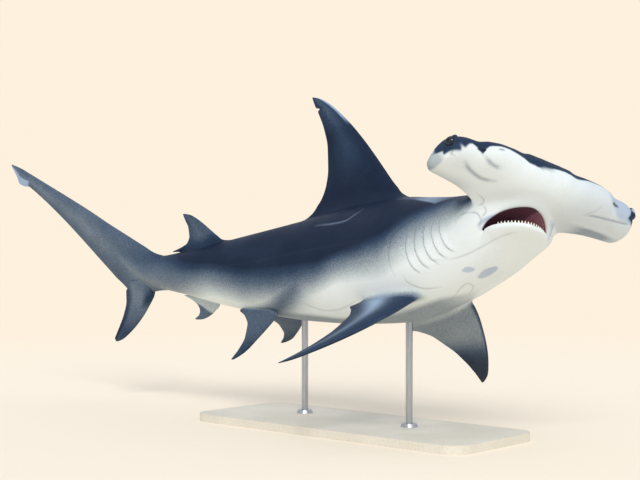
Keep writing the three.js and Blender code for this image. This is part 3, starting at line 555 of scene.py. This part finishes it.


# A painted highlight in pale blue lies on the upper face near the root and along the middle of the
# blade.
def pectoral_paint(height, share, side):
    over = 0.88 - 0.12 * bump(share, 0.5, 0.25)
    under = 0.46 + 0.5 * ramp(height + 0.15 * share, 0.5, 0.88)
    under = under + 0.35 * (1 - ramp(share, 0.0, 0.06))
    sheen = 0.85 * bump(share, 0.66 - 0.4 * height, 0.17) * (1 - ramp(height, 0.22, 0.5))
    sheen = sheen * ramp(height, 0.0, 0.06) + 0.3 * bump(share, 0.5, 0.12) * bump(height, 0.55, 0.3)
    return np.where(side > 0, over, under), np.where(side > 0, sheen, 0)


def pelvic_paint(height, share, side):
    tip = ramp(height, 0.3, 1)
    return np.where(side > 0, 0.72 + 0.12 * tip, 0.68 + 0.2 * tip), 0.0


PAIRED = [
    ("pectoral_right", PECTORAL, pectoral_paint, 1, (0.229, 0.0255, -0.036, 34.4, -4.5, -6, 0.38)),
    ("pelvic_right", PELVIC, pelvic_paint, 1, (0.478, 0.028, -0.041, 73, 4, 7, -2.2)),
    ("pectoral_left", PECTORAL, pectoral_paint, -1, (0.2245, 0.01, -0.036, 41.5, 17, -7, 1.5)),
    ("pelvic_left", PELVIC, pelvic_paint, -1, (0.482, 0.015, -0.055, 46, -4, 3, 1)),
]
paired = []
for name, rows, paint, sign, seat in PAIRED:
    paired.append(fin(name, rows, paired_fin(rows, sign, seat), paint))


# Skin: everything above joined into one closed skin, its joints then softened so that fins, jaw
# and hammer grow out of the body. Each joint gives how far the skin is softened, in metres.
def carve(body, tool, operation):
    modifier = body.modifiers.new(operation, "BOOLEAN")
    modifier.operation = operation
    modifier.object = tool
    modifier.solver = "MANIFOLD"
    graph = bpy.context.evaluated_depsgraph_get()
    mesh = bpy.data.meshes.new_from_object(body.evaluated_get(graph))
    body.modifiers.clear()
    old = body.data
    body.data = mesh
    bpy.data.meshes.remove(old)
    bpy.data.objects.remove(tool)


def mark_piece(piece, number):
    mark = piece.data.attributes.new("piece", "INT", "FACE")
    mark.data.foreach_set("value", np.full(len(piece.data.polygons), number, np.int32))


SOFTENED = (0.012, 0.055, 0.035, 0.015, 0.07, 0.05, 0.035, 0.02, 0.035, 0.02)
grown = (jaw, first_dorsal, second_dorsal, anal, upper_lobe, lower_lobe, *paired)
JOINS = [(hammer, "UNION", 0.045), *face_work, (mouth, "DIFFERENCE", 0.006)]
JOINS += [(piece, "UNION", soften) for piece, soften in zip(grown, SOFTENED)]
HAMMER_PIECE, LID_PIECES, HAMMER_PIECES, MOUTH_PIECE = 1, (2, 5), range(1, 8), 8
for number, piece in enumerate([trunk, *(row[0] for row in JOINS)]):
    mark_piece(piece, number)
for piece, operation, soften in JOINS:
    carve(trunk, piece, operation)
skin = trunk
skin.name = skin.data.name = "skin"


def read(items, field, kind=np.float32, wide=1):
    """One value, or a few, of each item of a mesh."""
    values = np.empty(len(items) * wide, kind)
    items.foreach_get(field, values)
    return values.reshape(-1, wide) if wide > 1 else values


count = len(skin.data.vertices)
points = read(skin.data.vertices, "co", wide=3).astype(float)
edges = read(skin.data.edges, "vertices", np.int32, 2)
marks = {mark: read(skin.data.attributes[mark].data, "value") for mark in MARKS}
face_piece = read(skin.data.attributes["piece"].data, "value", np.int32)
corners = read(skin.data.loops, "vertex_index", np.int32)
corner_piece = np.repeat(face_piece, read(skin.data.polygons, "loop_total", np.int32))
first_piece, last_piece = np.full(count, 99), np.full(count, -1)
np.minimum.at(first_piece, corners, corner_piece)
np.maximum.at(last_piece, corners, corner_piece)


def near(some, reach):
    """1 close to some of the skin's points, falling to 0 at a distance from them."""
    tree = KDTree(len(some))
    for i, v in enumerate(some):
        tree.insert(points[v], i)
    tree.balance()
    low, high = points[some].min(0) - reach, points[some].max(0) + reach
    close = np.nonzero(((points > low) & (points < high)).all(1))[0]
    gap = np.array([tree.find(points[v])[2] for v in close])
    weight = np.zeros(count)
    weight[close] = np.clip(1.25 - gap / reach * 1.25, 0, 1)
    return weight


def spread(fields, weight, passes):
    """Evens out values over the skin, where the weight says."""
    live = (weight[edges[:, 0]] > 0) | (weight[edges[:, 1]] > 0)
    used, ends = np.unique(edges[live], return_inverse=True)
    a, b = ends.reshape(-1, 2).T
    size = len(used)
    degree = np.bincount(a, minlength=size) + np.bincount(b, minlength=size)
    for field in fields:
        part = field[used].astype(float)
        for _ in range(passes):
            total = np.bincount(a, part[b], size) + np.bincount(b, part[a], size)
            part += 0.6 * weight[used] * (total / degree - part)
        field[used] = part


def move_skin():
    skin.data.vertices.foreach_set("co", points.astype(np.float32).ravel())
    skin.data.update()


# Points cut along a seam take their marks from the points beside them, and then each seam is
# softened, in shape and in marks, over its own reach.
known = first_piece == last_piece
seam = np.nonzero(~known)[0]
here, there = np.concatenate([edges, edges[:, ::-1]]).T
while not known.all():
    lend = known[here] & ~known[there]
    lenders = np.bincount(there[lend], minlength=count)
    fresh = lenders > 0
    for mark in MARKS:
        lent = np.bincount(there[lend], marks[mark][here[lend]], count)
        marks[mark][fresh] = lent[fresh] / lenders[fresh]
    known |= fresh
SEAM_PASSES = 90
reach = np.array([0] + [row[2] for row in JOINS])[last_piece[seam]]
weight = np.zeros(count)
for size in np.unique(reach):
    weight = np.maximum(weight, near(seam[reach == size], size))
columns = [points[:, k].copy() for k in range(3)]
spread(columns + list(marks.values()), weight, SEAM_PASSES)
points = np.stack(columns, -1)
move_skin()
normals = read(skin.data.vertex_normals, "vector", wide=3).astype(float)


# Folds and lines of the skin: fine creases darkened with painted shade, grey streaks of painted
# shade in shallow grooves under the hammer, soft folds at the mouth's corners with a painted
# highlight, and painted highlights on the throat and along the upper flank. Each is its paint,
# width and rise in millimetres, strength, the number of sides that have it, and its places in
# ten-thousandths of the length.
FOLDS = [
    ("grey", 9, -1.5, 0.6, 1, [(427, 959, -194), (486, 881, -196), (529, 759, -199),
        (536, 651, -203), (498, 546, -214)]),
    ("grey", 9, -1.5, 0.55, 1, [(287, 793, -176), (319, 722, -197), (334, 644, -202),
        (332, 589, -202)]),
    ("grey", 7, -1.5, 0.65, 1, [(481, -577, -213), (438, -704, -210), (421, -881, -196),
        (396, -1053, -192), (375, -1160, -160)]),
    ("line", 3, -0.5, 0.3, 1, [(480, -568, -213), (373, -656, -207), (268, -696, -180)]),
    ("line", 3.5, -2, 0.9, 1, [(186, 685, -98), (179, 615, -84)]),
    ("line", 3, -0.5, 0.5, 1, [(366, 1149, -157), (385, 1136, -178), (408, 1146, -185),
        (402, 1097, -192)]),
    ("line", 3, -0.5, 0.45, 1, [(198, -100, -20), (195, -165, -35), (187, -166, -59)]),
    ("line", 3.2, -1.2, 0.5, 1, [(1341, 529, 19), (1186, 520, -24), (1003, 472, -165),
        (988, 419, -242), (1029, 402, -276)]),
    ("line", 3, -0.8, 0.45, 1, [(772, 595, -148), (800, 490, -157), (863, 458, -157),
        (926, 477, -137)]),
    ("line", 3, -0.8, 0.45, 1, [(875, 443, -171), (893, 403, -222), (977, 409, -249)]),
    ("line", 3.5, -1, 0.35, 1, [(1808, 539, -196), (1631, 500, -284), (1379, 405, -350),
        (1115, 289, -423), (872, 190, -498), (765, 125, -530)]),
    ("line", 3.5, -1, 0.4, 2, [(2160, 565, -281), (2141, 530, -353), (2058, 466, -428),
        (1969, 409, -468), (1836, 352, -483)]),
    ("line", 3.5, -0.8, 0.35, 2, [(4112, 454, -409), (3949, 430, -475), (3749, 403, -536),
        (3520, 416, -548), (3234, 468, -509), (3037, 512, -462)]),
    ("line", 3.5, -1, 0.35, 1, [(1902, 130, -591), (1703, 197, -533), (1607, 192, -516),
        (1614, 98, -540), (1727, 37, -568)]),
    ("line", 4, -1.2, 0.35, 2, [(1656, 287, 490), (1819, 446, 383), (2006, 518, 324),
        (2165, 560, 268), (2270, 593, 184), (2295, 614, 83), (2314, 620, -30), (2300, 610, -149),
        (2265, 583, -259)]),
    ("sheen", 5, 1, 0.3, 2, [(3832, 398, 507), (3523, 447, 494), (3253, 454, 505),
        (3144, 413, 557), (3041, 334, 629)]),
    ("sheen", 7.5, 3.5, 0.75, 1, [(1060, 392, -298), (1040, 406, -277), (984, 390, -271),
        (903, 349, -274), (846, 315, -272)]),
    ("sheen", 8.5, 4, 0.75, 1, [(687, -303, -227), (766, -370, -212), (834, -393, -225),
        (910, -410, -260)]),
    ("sheen", 16.5, 0, 0.62, 1, [(1515, 331, -431), (1478, 310, -441), (1442, 279, -452)]),
    ("sheen", 23, 0, 0.62, 1, [(1455, 145, -506), (1373, 118, -501), (1302, 78, -499)]),
]


def rounded(places):
    """A smooth curve through places, by the way each one's neighbours point."""
    p = np.concatenate([[2 * places[0] - places[1]], places, [2 * places[-1] - places[-2]]])
    i, t = np.divmod(np.linspace(0, len(places) - 1 - 1e-6, 30 * len(places)), 1)
    i, t = i.astype(int), t[:, None]
    before, here, there, after = p[i], p[i + 1], p[i + 2], p[i + 3]
    bend = 2 * before - 5 * here + 4 * there - after
    slow = (2 * here + (there - before) * t + bend * t**2) / 2
    return slow + (3 * here - before - 3 * there + after) * t**3 / 2


# The line mark carries painted shade in the slits, grooves and creases; the others carry painted
# shade and painted highlight.
painted = {"grey": np.zeros(count)}
painted["line"], painted["sheen"] = marks["slit"].astype(float), marks["sheen"].astype(float)
moved = np.zeros(count)
for paint, width, rise, strength, sides, places in FOLDS:
    curve, width, rise = rounded(thousandths(places) / 10), width / 1000, rise / 1000
    for side in (1, -1)[:sides]:
        path = posed(curve[:, 0], side * curve[:, 1], curve[:, 2])
        close = (points > path.min(0) - 3 * width) & (points < path.max(0) + 3 * width)
        close = np.nonzero(close.all(1))[0]
        gaps = np.linalg.norm(points[close, None] - path[None], axis=2)
        nearest = gaps.argmin(1) / (len(curve) - 1)
        gap = gaps.min(1)
        if rise:
            taper = ramp(nearest, 0, 0.25) * ramp(1 - nearest, 0, 0.25)
            strong = np.exp(-((gap / width) ** 2)) * (0.35 + 0.65 * taper)
        else:
            strong = ramp(width * np.sqrt(1 - 0.55 * (2 * nearest - 1) ** 2) - gap, 0, 0.004)
        moved[close] += rise * strong
        painted[paint][close] = np.maximum(painted[paint][close], strength * strong)
points += normals * moved[:, None]
move_skin()


# Paint of the skin: slate above, pale below, with a soft, stippled border along the flank and a
# crisp, waved one along the hammer's front. Each row of the soft border is a share of the length
# and the angles on the flank where the slate starts to fade and where the skin is pale.
COUNTERSHADE = [
    (0.02, 60, 20), (0.085, 0, -14), (0.1, 6, -12), (0.12, 24, -7), (0.15, 60, -3),
    (0.2, 45, -10), (0.25, 22, -18), (0.32, 12, -17), (0.38, 5, -30), (0.43, 6, -46),
    (0.5, 10, -46), (0.57, 26, -40), (0.62, 38, -75), (0.68, 110, -190), (0.8, 150, -230),
]
fade_angle, pale_angle = reading(COUNTERSHADE, 1), reading(COUNTERSHADE, 2)

# How far down the slate comes over the hammer's front edge, from its left end to its right.
BAND = thousandths([
    (-130, 0), (-50, -1), (-31.1, -3.6), (-20.6, -3.6), (-16, -2.4), (-9, -2.6), (0.5, -4.6),
    (10.1, -7.7), (19.1, -10.6), (27.8, -9.5), (36.4, -5.8), (46.1, -5.1), (55.1, -4.3),
    (63.9, -5), (72.1, -6.9), (78.1, -8.8), (81.2, -11.7), (83.1, -15.4), (87.1, -13.2),
    (92.2, -10.4), (97.3, -8.9), (101.1, -11.3), (103.6, -14.3), (107.2, -12.7), (112.3, -9.8),
    (114.7, -15.6), (118.9, -13.7), (121.2, -11.8), (123, -9.9), (130, -9),
])
along, right, up = (marks[mark].astype(float) for mark in ("along", "right", "up"))
rise = up - trunk_rise(along)
side = np.abs(right) / trunk_side(along)
climb = rise / trunk_back(along)
drop = (np.clip(-rise, 0, None) / trunk_belly(along)) ** (1 / BELLY_FULLNESS)
round_angle = np.degrees(np.arctan2(np.where(rise > 0, climb, -drop), side))
body_tone = (round_angle - pale_angle(along)) / (fade_angle(along) - pale_angle(along))
body_tone = np.clip(body_tone, 0, 1)
BAND_BLUR, LID_PATCH = 0.0013, (0.0072, 0.0086)
HAMMER_SLATE, TAIL_SLATE, SMEAR_SLATE = 0.9, 0.55, 0.64
out = np.abs(right)
depth = (along - hammer_front(out)) / (hammer_rear(out) - hammer_front(out))
border = reading(BAND, 1)(right)
border = border + (hammer_level(out) - border) * ramp(depth, 0.45, 0.75) * (right < 0.112)
border = border + 0.014 * ramp(right, 0.112, 0.114) * ramp(along, 0.053, 0.058)
hammer_tone = ramp(up - border, -BAND_BLUR, BAND_BLUR)
on_hammer = np.isin(last_piece, HAMMER_PIECES)
lid_gap = np.hypot(along - EYE_ALONG, out - EYE_OUT) - 0.004 * ramp(right, 0.1115, 0.1135)
lid_patch = (1 - ramp(lid_gap, *LID_PATCH)) * ramp(up, -0.018, -0.0155)
hammer_tone = np.maximum(hammer_tone, lid_patch)
on_head = np.where(on_hammer, 1, 1 - ramp(along, 0.07, 0.088))
body_tone = np.maximum(body_tone, TAIL_SLATE * ramp(along, 0.64, 0.69))
smear = bump(along + 0.0014 * (round_angle + 60), 0.478, 0.036) * ramp(round_angle, -78, -60)
body_tone = np.maximum(body_tone, SMEAR_SLATE * smear)
tone = body_tone + (hammer_tone * HAMMER_SLATE - body_tone) * on_head
neck = seam[(first_piece[seam] == 0) & (last_piece[seam] == HAMMER_PIECE)]
lids = seam[np.isin(last_piece[seam], LID_PIECES)]
for some, reach, passes in ((neck, 0.02, 25), (lids, 0.07, 8)):
    spread([tone], near(some, reach), passes)
blade = np.clip(marks["blade"], 0, 1)
tone = tone * (1 - blade) + marks["shade"]

# Painted shade in grey on the pale underside, along the belly's keel and under the hammer, where
# shadow falls; a row of the keel is a share of the length and the angle where the painted shade
# ends. Then painted highlights in pale blue, on the hammer's left end and on the nape.
KEEL = [
    (0.15, -95), (0.17, -80), (0.2, -62), (0.26, -56), (0.33, -60), (0.4, -54), (0.46, -50),
    (0.5, -95), (0.8, -95),
]
grey = 0.78 * (1 - ramp(round_angle - reading(KEEL, 1)(along), -10, 3))
grey = grey * (1 - on_head) * ramp(along, 0.15, 0.21)
lower = on_hammer * (1 - hammer_tone)
grey += 0.34 * lower * ramp(right, 0.055, 0.085) * ramp(along, 0.058, 0.082)
grey += 0.5 * lower * ramp(right, 0.1155, 0.1195) * ramp(along, 0.044, 0.054)
grey += 0.9 * lower * bump(right, -0.088, 0.024) * ramp(along, 0.0615, 0.069)
grey += 0.16 * lower * ramp(-right, 0.01, 0.05)
sheen = painted["sheen"] + 0.12 * lower * ramp(-right, 0.01, 0.06)
left_end = ramp(-right - 1.2 * (along - 0.02), 0.072, 0.08) * (1 - ramp(along, 0.034, 0.04))
sheen += 0.55 * lower * left_end
top_edge = 50 + 19 * np.clip(np.abs(along - 0.178) / 0.05, 0, 1) ** 0.8
sheen += 0.6 * ramp(round_angle - top_edge, -1, 3) * bump(along, 0.2, 0.032) * (1 - blade)
results = {
    "tone": tone,
    "grey": np.maximum(painted["grey"], np.clip(grey, 0, 0.8)) * (1 - blade),
    "sheen": np.clip(sheen, 0, 1),
    "line": painted["line"],
    "wet": ramp(marks["wet"], 0.45, 0.8),
    # Painted shadow inside the mouth, on its left side.
    "deep": ramp(right, -0.009, -0.0055),
}
for mark in MARKS:
    skin.data.attributes.remove(skin.data.attributes[mark])
for mark, values in results.items():
    keep_mark(skin.data, mark, values)
skin.data.shade_smooth()


def colour(code):
    parts = [int(code[i : i + 2], 16) / 255 for i in (0, 2, 4)]
    return tuple(v / 12.92 if v <= 0.04045 else ((v + 0.055) / 1.055) ** 2.4 for v in parts)


class Paint:
    """A socket in a finish's nodes that takes part in sums; without a socket, their start."""

    def __init__(self, tree, link=None):
        self.tree, self.link = tree, link

    def node(self, kind, settings=None, inputs=None, output=0):
        """Any node: its type, its settings, then the values or links of its sockets."""
        made = self.tree.nodes.new("ShaderNode" + kind)
        for name, value in (settings or {}).items():
            if name == "stops":
                while len(made.color_ramp.elements) < len(value):
                    made.color_ramp.elements.new(0.5)
                for element, (at, shade) in zip(made.color_ramp.elements, value):
                    element.position, element.color = at, (*shade, 1)
            else:
                setattr(made, name, value)
        for name, value in (inputs or {}).items():
            if isinstance(value, Paint):
                self.tree.links.new(value.link, made.inputs[name])
            else:
                made.inputs[name].default_value = value
        return Paint(self.tree, made.outputs[output])

    def math(self, operation, *values):
        return self.node("Math", {"operation": operation}, dict(enumerate(values)))

    __add__ = __radd__ = lambda self, other: self.math("ADD", self, other)
    __mul__ = __rmul__ = lambda self, other: self.math("MULTIPLY", self, other)
    __sub__ = lambda self, other: self.math("SUBTRACT", self, other)
    __rsub__ = lambda self, other: self.math("SUBTRACT", other, self)

    def clamped(self):
        return self.math("MINIMUM", self.math("MAXIMUM", self, 0.0), 1.0)

    def mixed(self, other, amount):
        """This colour with another over it, by an amount."""
        other = other if isinstance(other, Paint) else (*colour(other), 1)
        return self.node("Mix", {"data_type": "RGBA"}, {0: amount, 6: self, 7: other}, 2)

    def mark(self, name):
        return self.node("Attribute", {"attribute_name": name}, output="Fac")

    def place(self):
        return self.node("TexCoord", output="Object")

    def noise(self, scale, detail=2.0, place=None):
        values = {"Vector": place or self.place(), "Scale": scale, "Detail": detail}
        return self.node("TexNoise", {}, values, "Fac")

    def cells(self, scale):
        return self.node("TexVoronoi", {}, {"Vector": self.place(), "Scale": scale}, "Distance")

    def shaded(self, *stops):
        """A colour that follows this value, from places on a ramp and their colours."""
        stops = [(at, colour(code)) for at, code in stops]
        return self.node("ValToRGB", {"stops": stops}, {"Fac": self}, "Color")

    def bumped(self, strength, distance):
        return self.node("Bump", {}, {"Strength": strength, "Distance": distance, "Height": self})


def finish(name, **fixed):
    """A material, the start of its nodes and its shader's sockets, with the fixed ones set."""
    material = bpy.data.materials.new(name)
    material.use_nodes = True
    sockets = material.node_tree.nodes["Principled BSDF"].inputs
    for socket, value in fixed.items():
        sockets[socket.replace("_", " ")].default_value = value
    return material, Paint(material.node_tree), sockets


def feed(sockets, **paints):
    for socket, paint in paints.items():
        paint.tree.links.new(paint.link, sockets[socket.replace("_", " ")])


def dress(piece, material, slot, *nodes):
    """Gives a piece its finish and body, and puts it in the place of the frame's solids; the slot
    is not used.
    """
    piece.data.materials.clear()
    piece.data.materials.append(material)
    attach(piece, "root")
    if nodes:
        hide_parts(*nodes)


def plum_and_shadow(start, cloud, folds):
    """The wet membrane inside the mouth, with painted shadow darkening it towards the throat's left
    side.
    """
    base = (cloud * 0.7 + folds * 0.3).shaded((0.3, "8a5564"), (0.7, "b98391"))
    return base.mixed("553240", start.mark("deep") * 0.85)


# Living skin is a fine mail of tiny toothed scales: satin, faintly grainy, clouded and freckled
# where the slate thins out, wetter and plum-coloured inside the mouth.
hide, start, sockets = finish("skin", Specular_IOR_Level=0.13)
tone, wet = start.mark("tone"), start.mark("wet")
grain, speckle, cloud = start.noise(300.0), start.noise(210.0, 3.0), start.noise(7.0, 3.0)
freckles = 4 * tone * (1 - tone)
mottled = tone + (speckle - 0.5) * (0.12 + 0.28 * freckles)
mottled = mottled + (grain - 0.5) * (0.08 + 0.24 * freckles)
mottled = (mottled + (cloud - 0.5) * 0.14).clamped()
base = mottled.shaded(
    (0.0, "e6eceb"), (0.2, "c3cccc"), (0.45, "8b959d"),
    (0.65, "586778"), (0.83, "2a3c54"), (1.0, "122138"),
)
# Painted shade in grey on the underside and in grooves, a painted highlight in pale blue, and
# painted shade in dark slate along creases and in the slits.
base = base.mixed("6d7a87", (start.mark("grey") * (0.6 + 0.8 * speckle)).clamped())
base = base.mixed("9db0c9", (start.mark("sheen") * (0.75 + 0.5 * cloud)).clamped())
base = base.mixed("2a3242", (start.mark("line") * 0.8).clamped())
base = base.mixed(plum_and_shadow(start, cloud, speckle), wet.clamped())
gloss = (0.52 + 0.16 * (cloud - 0.5) - 0.3 * wet + 0.1 * (grain - 0.5)).clamped()
scales = start.cells(420.0) * 0.5 + grain * 0.5
feed(sockets, Base_Color=base, Roughness=gloss, Normal=scales.bumped(0.25, 0.0006))
flesh = [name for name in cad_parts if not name.startswith(("stand_", "eye_"))]
dress(skin, hide, "skin", *flesh)


# Lining of the mouth: a thin, wet, plum membrane, laid over its walls and roof and closed along its
# rim, a little inside the lips. Painted shadow darkens it towards the throat's left side.
LINING_LOW, LINING_HIGH, LIP_CLEAR = 0.0006, 0.0022, 0.007
normals = read(skin.data.vertex_normals, "vector", wide=3)
lip_near = near(seam[last_piece[seam] == MOUTH_PIECE], LIP_CLEAR) > 0
cavity = [
    tuple(face.vertices)
    for face, number in zip(skin.data.polygons, face_piece)
    if number == MOUTH_PIECE and not lip_near[list(face.vertices)].any()
]
used = sorted({v for face in cavity for v in face})
index = {v: i for i, v in enumerate(used)}
low = points[used] + normals[used] * LINING_LOW
high = points[used] + normals[used] * LINING_HIGH
top = [[index[v] for v in face] for face in cavity]
directed = {(face[i - 1], face[i]) for face in top for i in range(len(face))}
shift = len(used)
rim = [[b + shift, a + shift, a, b] for a, b in directed if (b, a) not in directed]
walls = [[v + shift for v in face] for face in top] + [face[::-1] for face in top]
lining = placed("mouth_lining", bpy.data.meshes.new("mouth_lining"))
lining.data.from_pydata(low.tolist() + high.tolist(), [], walls + rim)
lining.data.shade_smooth()
keep_mark(lining.data, "deep", np.tile(results["deep"][used], 2))
membrane, start, sockets = finish("mouth", Coat_Roughness=0.2, Specular_IOR_Level=0.5)
cloud, folds = start.noise(30.0, 3.0), start.noise(130.0, 3.0)
wet_gloss = 0.25 + 0.2 * folds
base = plum_and_shadow(start, cloud, folds)
feed(sockets, Base_Color=base, Roughness=wet_gloss, Normal=folds.bumped(0.4, 0.001))
dress(lining, membrane, "mouth")


# Teeth: flat, slanted triangles of enamel along the rim of the lower jaw, largest in front, each
# leaning towards the nearer corner of the mouth, with a second, lower row close inside it.
TEETH, TEETH_ARC = 23, radians(128)
TOOTH_HEIGHT, TOOTH_WIDTH, TOOTH_THICK = 21 * MILLIMETRE, 15 * MILLIMETRE, 6 * MILLIMETRE
TOOTH_SUNK, TOOTH_LONG = 0.35, 1.3
OUTER_ROW, INNER_ROW, INNER_SIZE = 0.945, 0.86, 0.7


def tooth(turn, inset, size):
    """A blade on the jaw's rim, built outwards, sideways and up at a turn round the arch."""
    cos, sin = math.cos(turn), math.sin(turn)
    along = JAW_CORNER - (JAW_CORNER - JAW_FRONT) * cos * inset
    t, angle = grid(np.linspace(0, 0.97, 9), 14)
    thin = (1 - t) ** 0.8 * (1 + 0.25 * bump(t, 0, 0.15))
    tall, slant = TOOTH_HEIGHT * size, t**1.6
    sideways = np.cos(angle) * TOOTH_WIDTH / 2 * thin * size
    outwards = np.sin(angle) * TOOTH_THICK / 2 * (1 - t) ** 0.6 * size - 0.15 * tall * t**2
    height = (t * TOOTH_LONG - TOOTH_SUNK) * tall
    ahead = outwards * cos + height * math.sin(JAW_OPEN) - sideways * sin
    ahead = ahead - abs(sin) * 0.2 * tall * slant
    across = JAW_HALF * sin * inset + outwards * sin + sideways * cos + sin * 0.1 * tall * slant
    up = lip_height(along) + height * math.cos(JAW_OPEN)
    return closed_mesh("tooth", posed(along - ahead, across, up))


row = []
for i in range(TEETH):
    turn = ((i + 0.5) / TEETH - 0.5) * TEETH_ARC
    row.append(tooth(turn, OUTER_ROW, 0.65 + 0.35 * math.cos(turn)))
    if i + 1 < TEETH:
        turn += 0.5 / TEETH * TEETH_ARC
        row.append(tooth(turn, INNER_ROW, INNER_SIZE * (0.65 + 0.35 * math.cos(turn))))
teeth = placed("teeth", bpy.data.meshes.new("teeth"))
both_rows = bmesh.new()
for blade in row:
    both_rows.from_mesh(blade.data)
    bpy.data.objects.remove(blade)
both_rows.to_mesh(teeth.data)
both_rows.free()
enamel, start, sockets = finish(
    "tooth", Specular_IOR_Level=0.6, Coat_Weight=0.4, Coat_Roughness=0.1
)
stain = start.noise(60.0, 3.0)
base = stain.shaded((0.3, "f4f1e6"), (0.75, "e3dcc6"))
feed(sockets, Base_Color=base, Roughness=0.18 + 0.15 * stain)
dress(teeth, enamel, "tooth")


# Eyes: glossy dark balls, set in the sockets, with a clear bulge over the pupil and a thin
# slate-blue iris round it.
EYE_BULGE, BULGE_WIDE, IRIS_SPREAD = 0.07, 0.5, 1.6
eyeball, start, sockets = finish(
    "eye", Specular_IOR_Level=0.2, Coat_Weight=0.35, Coat_Roughness=0.05
)
fibres = start.noise(700.0)
base = (start.mark("iris") + (fibres - 0.5) * 0.03).clamped().shaded(
    (0.0, "05070a"), (0.3, "06080c"), (0.34, "2b3947"),
    (0.42, "1b2632"), (0.48, "0f151d"), (1.0, "0b0f15"),
)
feed(sockets, Base_Color=base, Roughness=0.12 + 0.08 * fibres)
polar = grid(np.linspace(POLE, pi - POLE, BALL_STEPS), BALL_ROUND)[0]
bulged = EYE_RADIUS * (1 + EYE_BULGE * bump(polar, 0, BULGE_WIDE))
for side_name, sign in (("right", 1), ("left", -1)):
    spot = ball_spot(sign, EYE_ALONG, EYE_OUT, EYE_UP, bulged, EYE_STRETCH)
    rings = level_rings(spot, EYE_ALONG)
    eye = closed_mesh("eyeball_" + side_name, rings, iris=polar / pi * IRIS_SPREAD)
    dress(eye, eyeball, "eye", "eye_" + side_name)


# Stand: a honed slab of pale limestone, and two rods of brushed steel with a round collar where
# they are screwed into it. The slab and rods are the frame's own solids with these finishes.
stone, start, sockets = finish("limestone", Specular_IOR_Level=0.35)
bed, grains, shells = start.noise(4.0, 5.0), start.noise(160.0, 4.0), start.cells(70.0)
base = (bed * 0.5 + grains * 0.5).shaded((0.3, "cfc8b8"), (0.7, "ece6d8"))
base = base.mixed("b3aa97", ((0.22 - shells) * 3).clamped() * 0.5)
honed = 0.5 + 0.2 * grains
feed(sockets, Base_Color=base, Roughness=honed, Normal=grains.bumped(0.3, 0.0006))

steel, start, sockets = finish("brushed_steel", Metallic=1.0)
long = start.node("Mapping", {}, {"Vector": start.place(), "Scale": (900.0, 900.0, 12.0)})
brushing = start.noise(1.0, 3.0, long)
base = brushing.shaded((0.25, "9fa2a6"), (0.75, "c9cbce"))
brushed = 0.28 + 0.18 * brushing
feed(sockets, Base_Color=base, Roughness=brushed, Normal=brushing.bumped(0.15, 0.0002))
finishes = {"stand_base": stone, "stand_rod_front": steel, "stand_rod_rear": steel}
for name, material in finishes.items():
    for slot in bpy.data.objects[name].material_slots:
        slot.material = material


# Floor and light: a pale floor that melts into the ground of the picture, an even light all round
# and one very soft sun from over the animal's right shoulder.
GROUND, FLOOR_SHADE = colour("fef1de"), 0.975
FLOOR_HALF, FLOOR_NEAR, FLOOR_FAR = 12, 2.6, 7.0
floor = placed("floor", bpy.data.meshes.new("floor"))
edge = [(x * FLOOR_HALF, y * FLOOR_HALF, 0) for x, y in ((-1, -1), (1, -1), (1, 1), (-1, 1))]
floor.data.from_pydata(edge, [], [(0, 1, 2, 3)])
shade = (*[v * FLOOR_SHADE for v in GROUND], 1)
floor_finish, start, sockets = finish(
    "floor", Base_Color=shade, Roughness=1.0, Specular_IOR_Level=0.0
)
away = start.node("VectorMath", {"operation": "LENGTH"}, {0: start.place()}, "Value")
ends = {0: away, 1: FLOOR_NEAR, 2: FLOOR_FAR, 3: 1.0, 4: 0.0}
feed(sockets, Alpha=start.node("MapRange", {"interpolation_type": "SMOOTHSTEP"}, ends))
floor.data.materials.append(floor_finish)

AMBIENT = (0.72, 0.755, 0.8)
world = bpy.data.worlds.new("studio")
bpy.context.scene.world = world
world.use_nodes = True
sky = Paint(world.node_tree)
seen = sky.node("LightPath", output="Is Camera Ray")
colours = {0: seen, 6: (*AMBIENT, 1), 7: (*GROUND, 1)}
light = sky.node("Mix", {"data_type": "RGBA"}, colours, 2)
feed(world.node_tree.nodes["Background"].inputs, Color=light)
bpy.context.scene.view_settings.view_transform = "Standard"

KEY_FROM, KEY_STRENGTH, KEY_SOFTNESS = (3.0, -3.4, 3.6), 1.5, radians(25)
key = placed("key", bpy.data.lights.new("key", "SUN"))
key.data.energy, key.data.angle = KEY_STRENGTH, KEY_SOFTNESS
key.rotation_euler = (-Vector(KEY_FROM)).to_track_quat("-Z", "Y").to_euler()
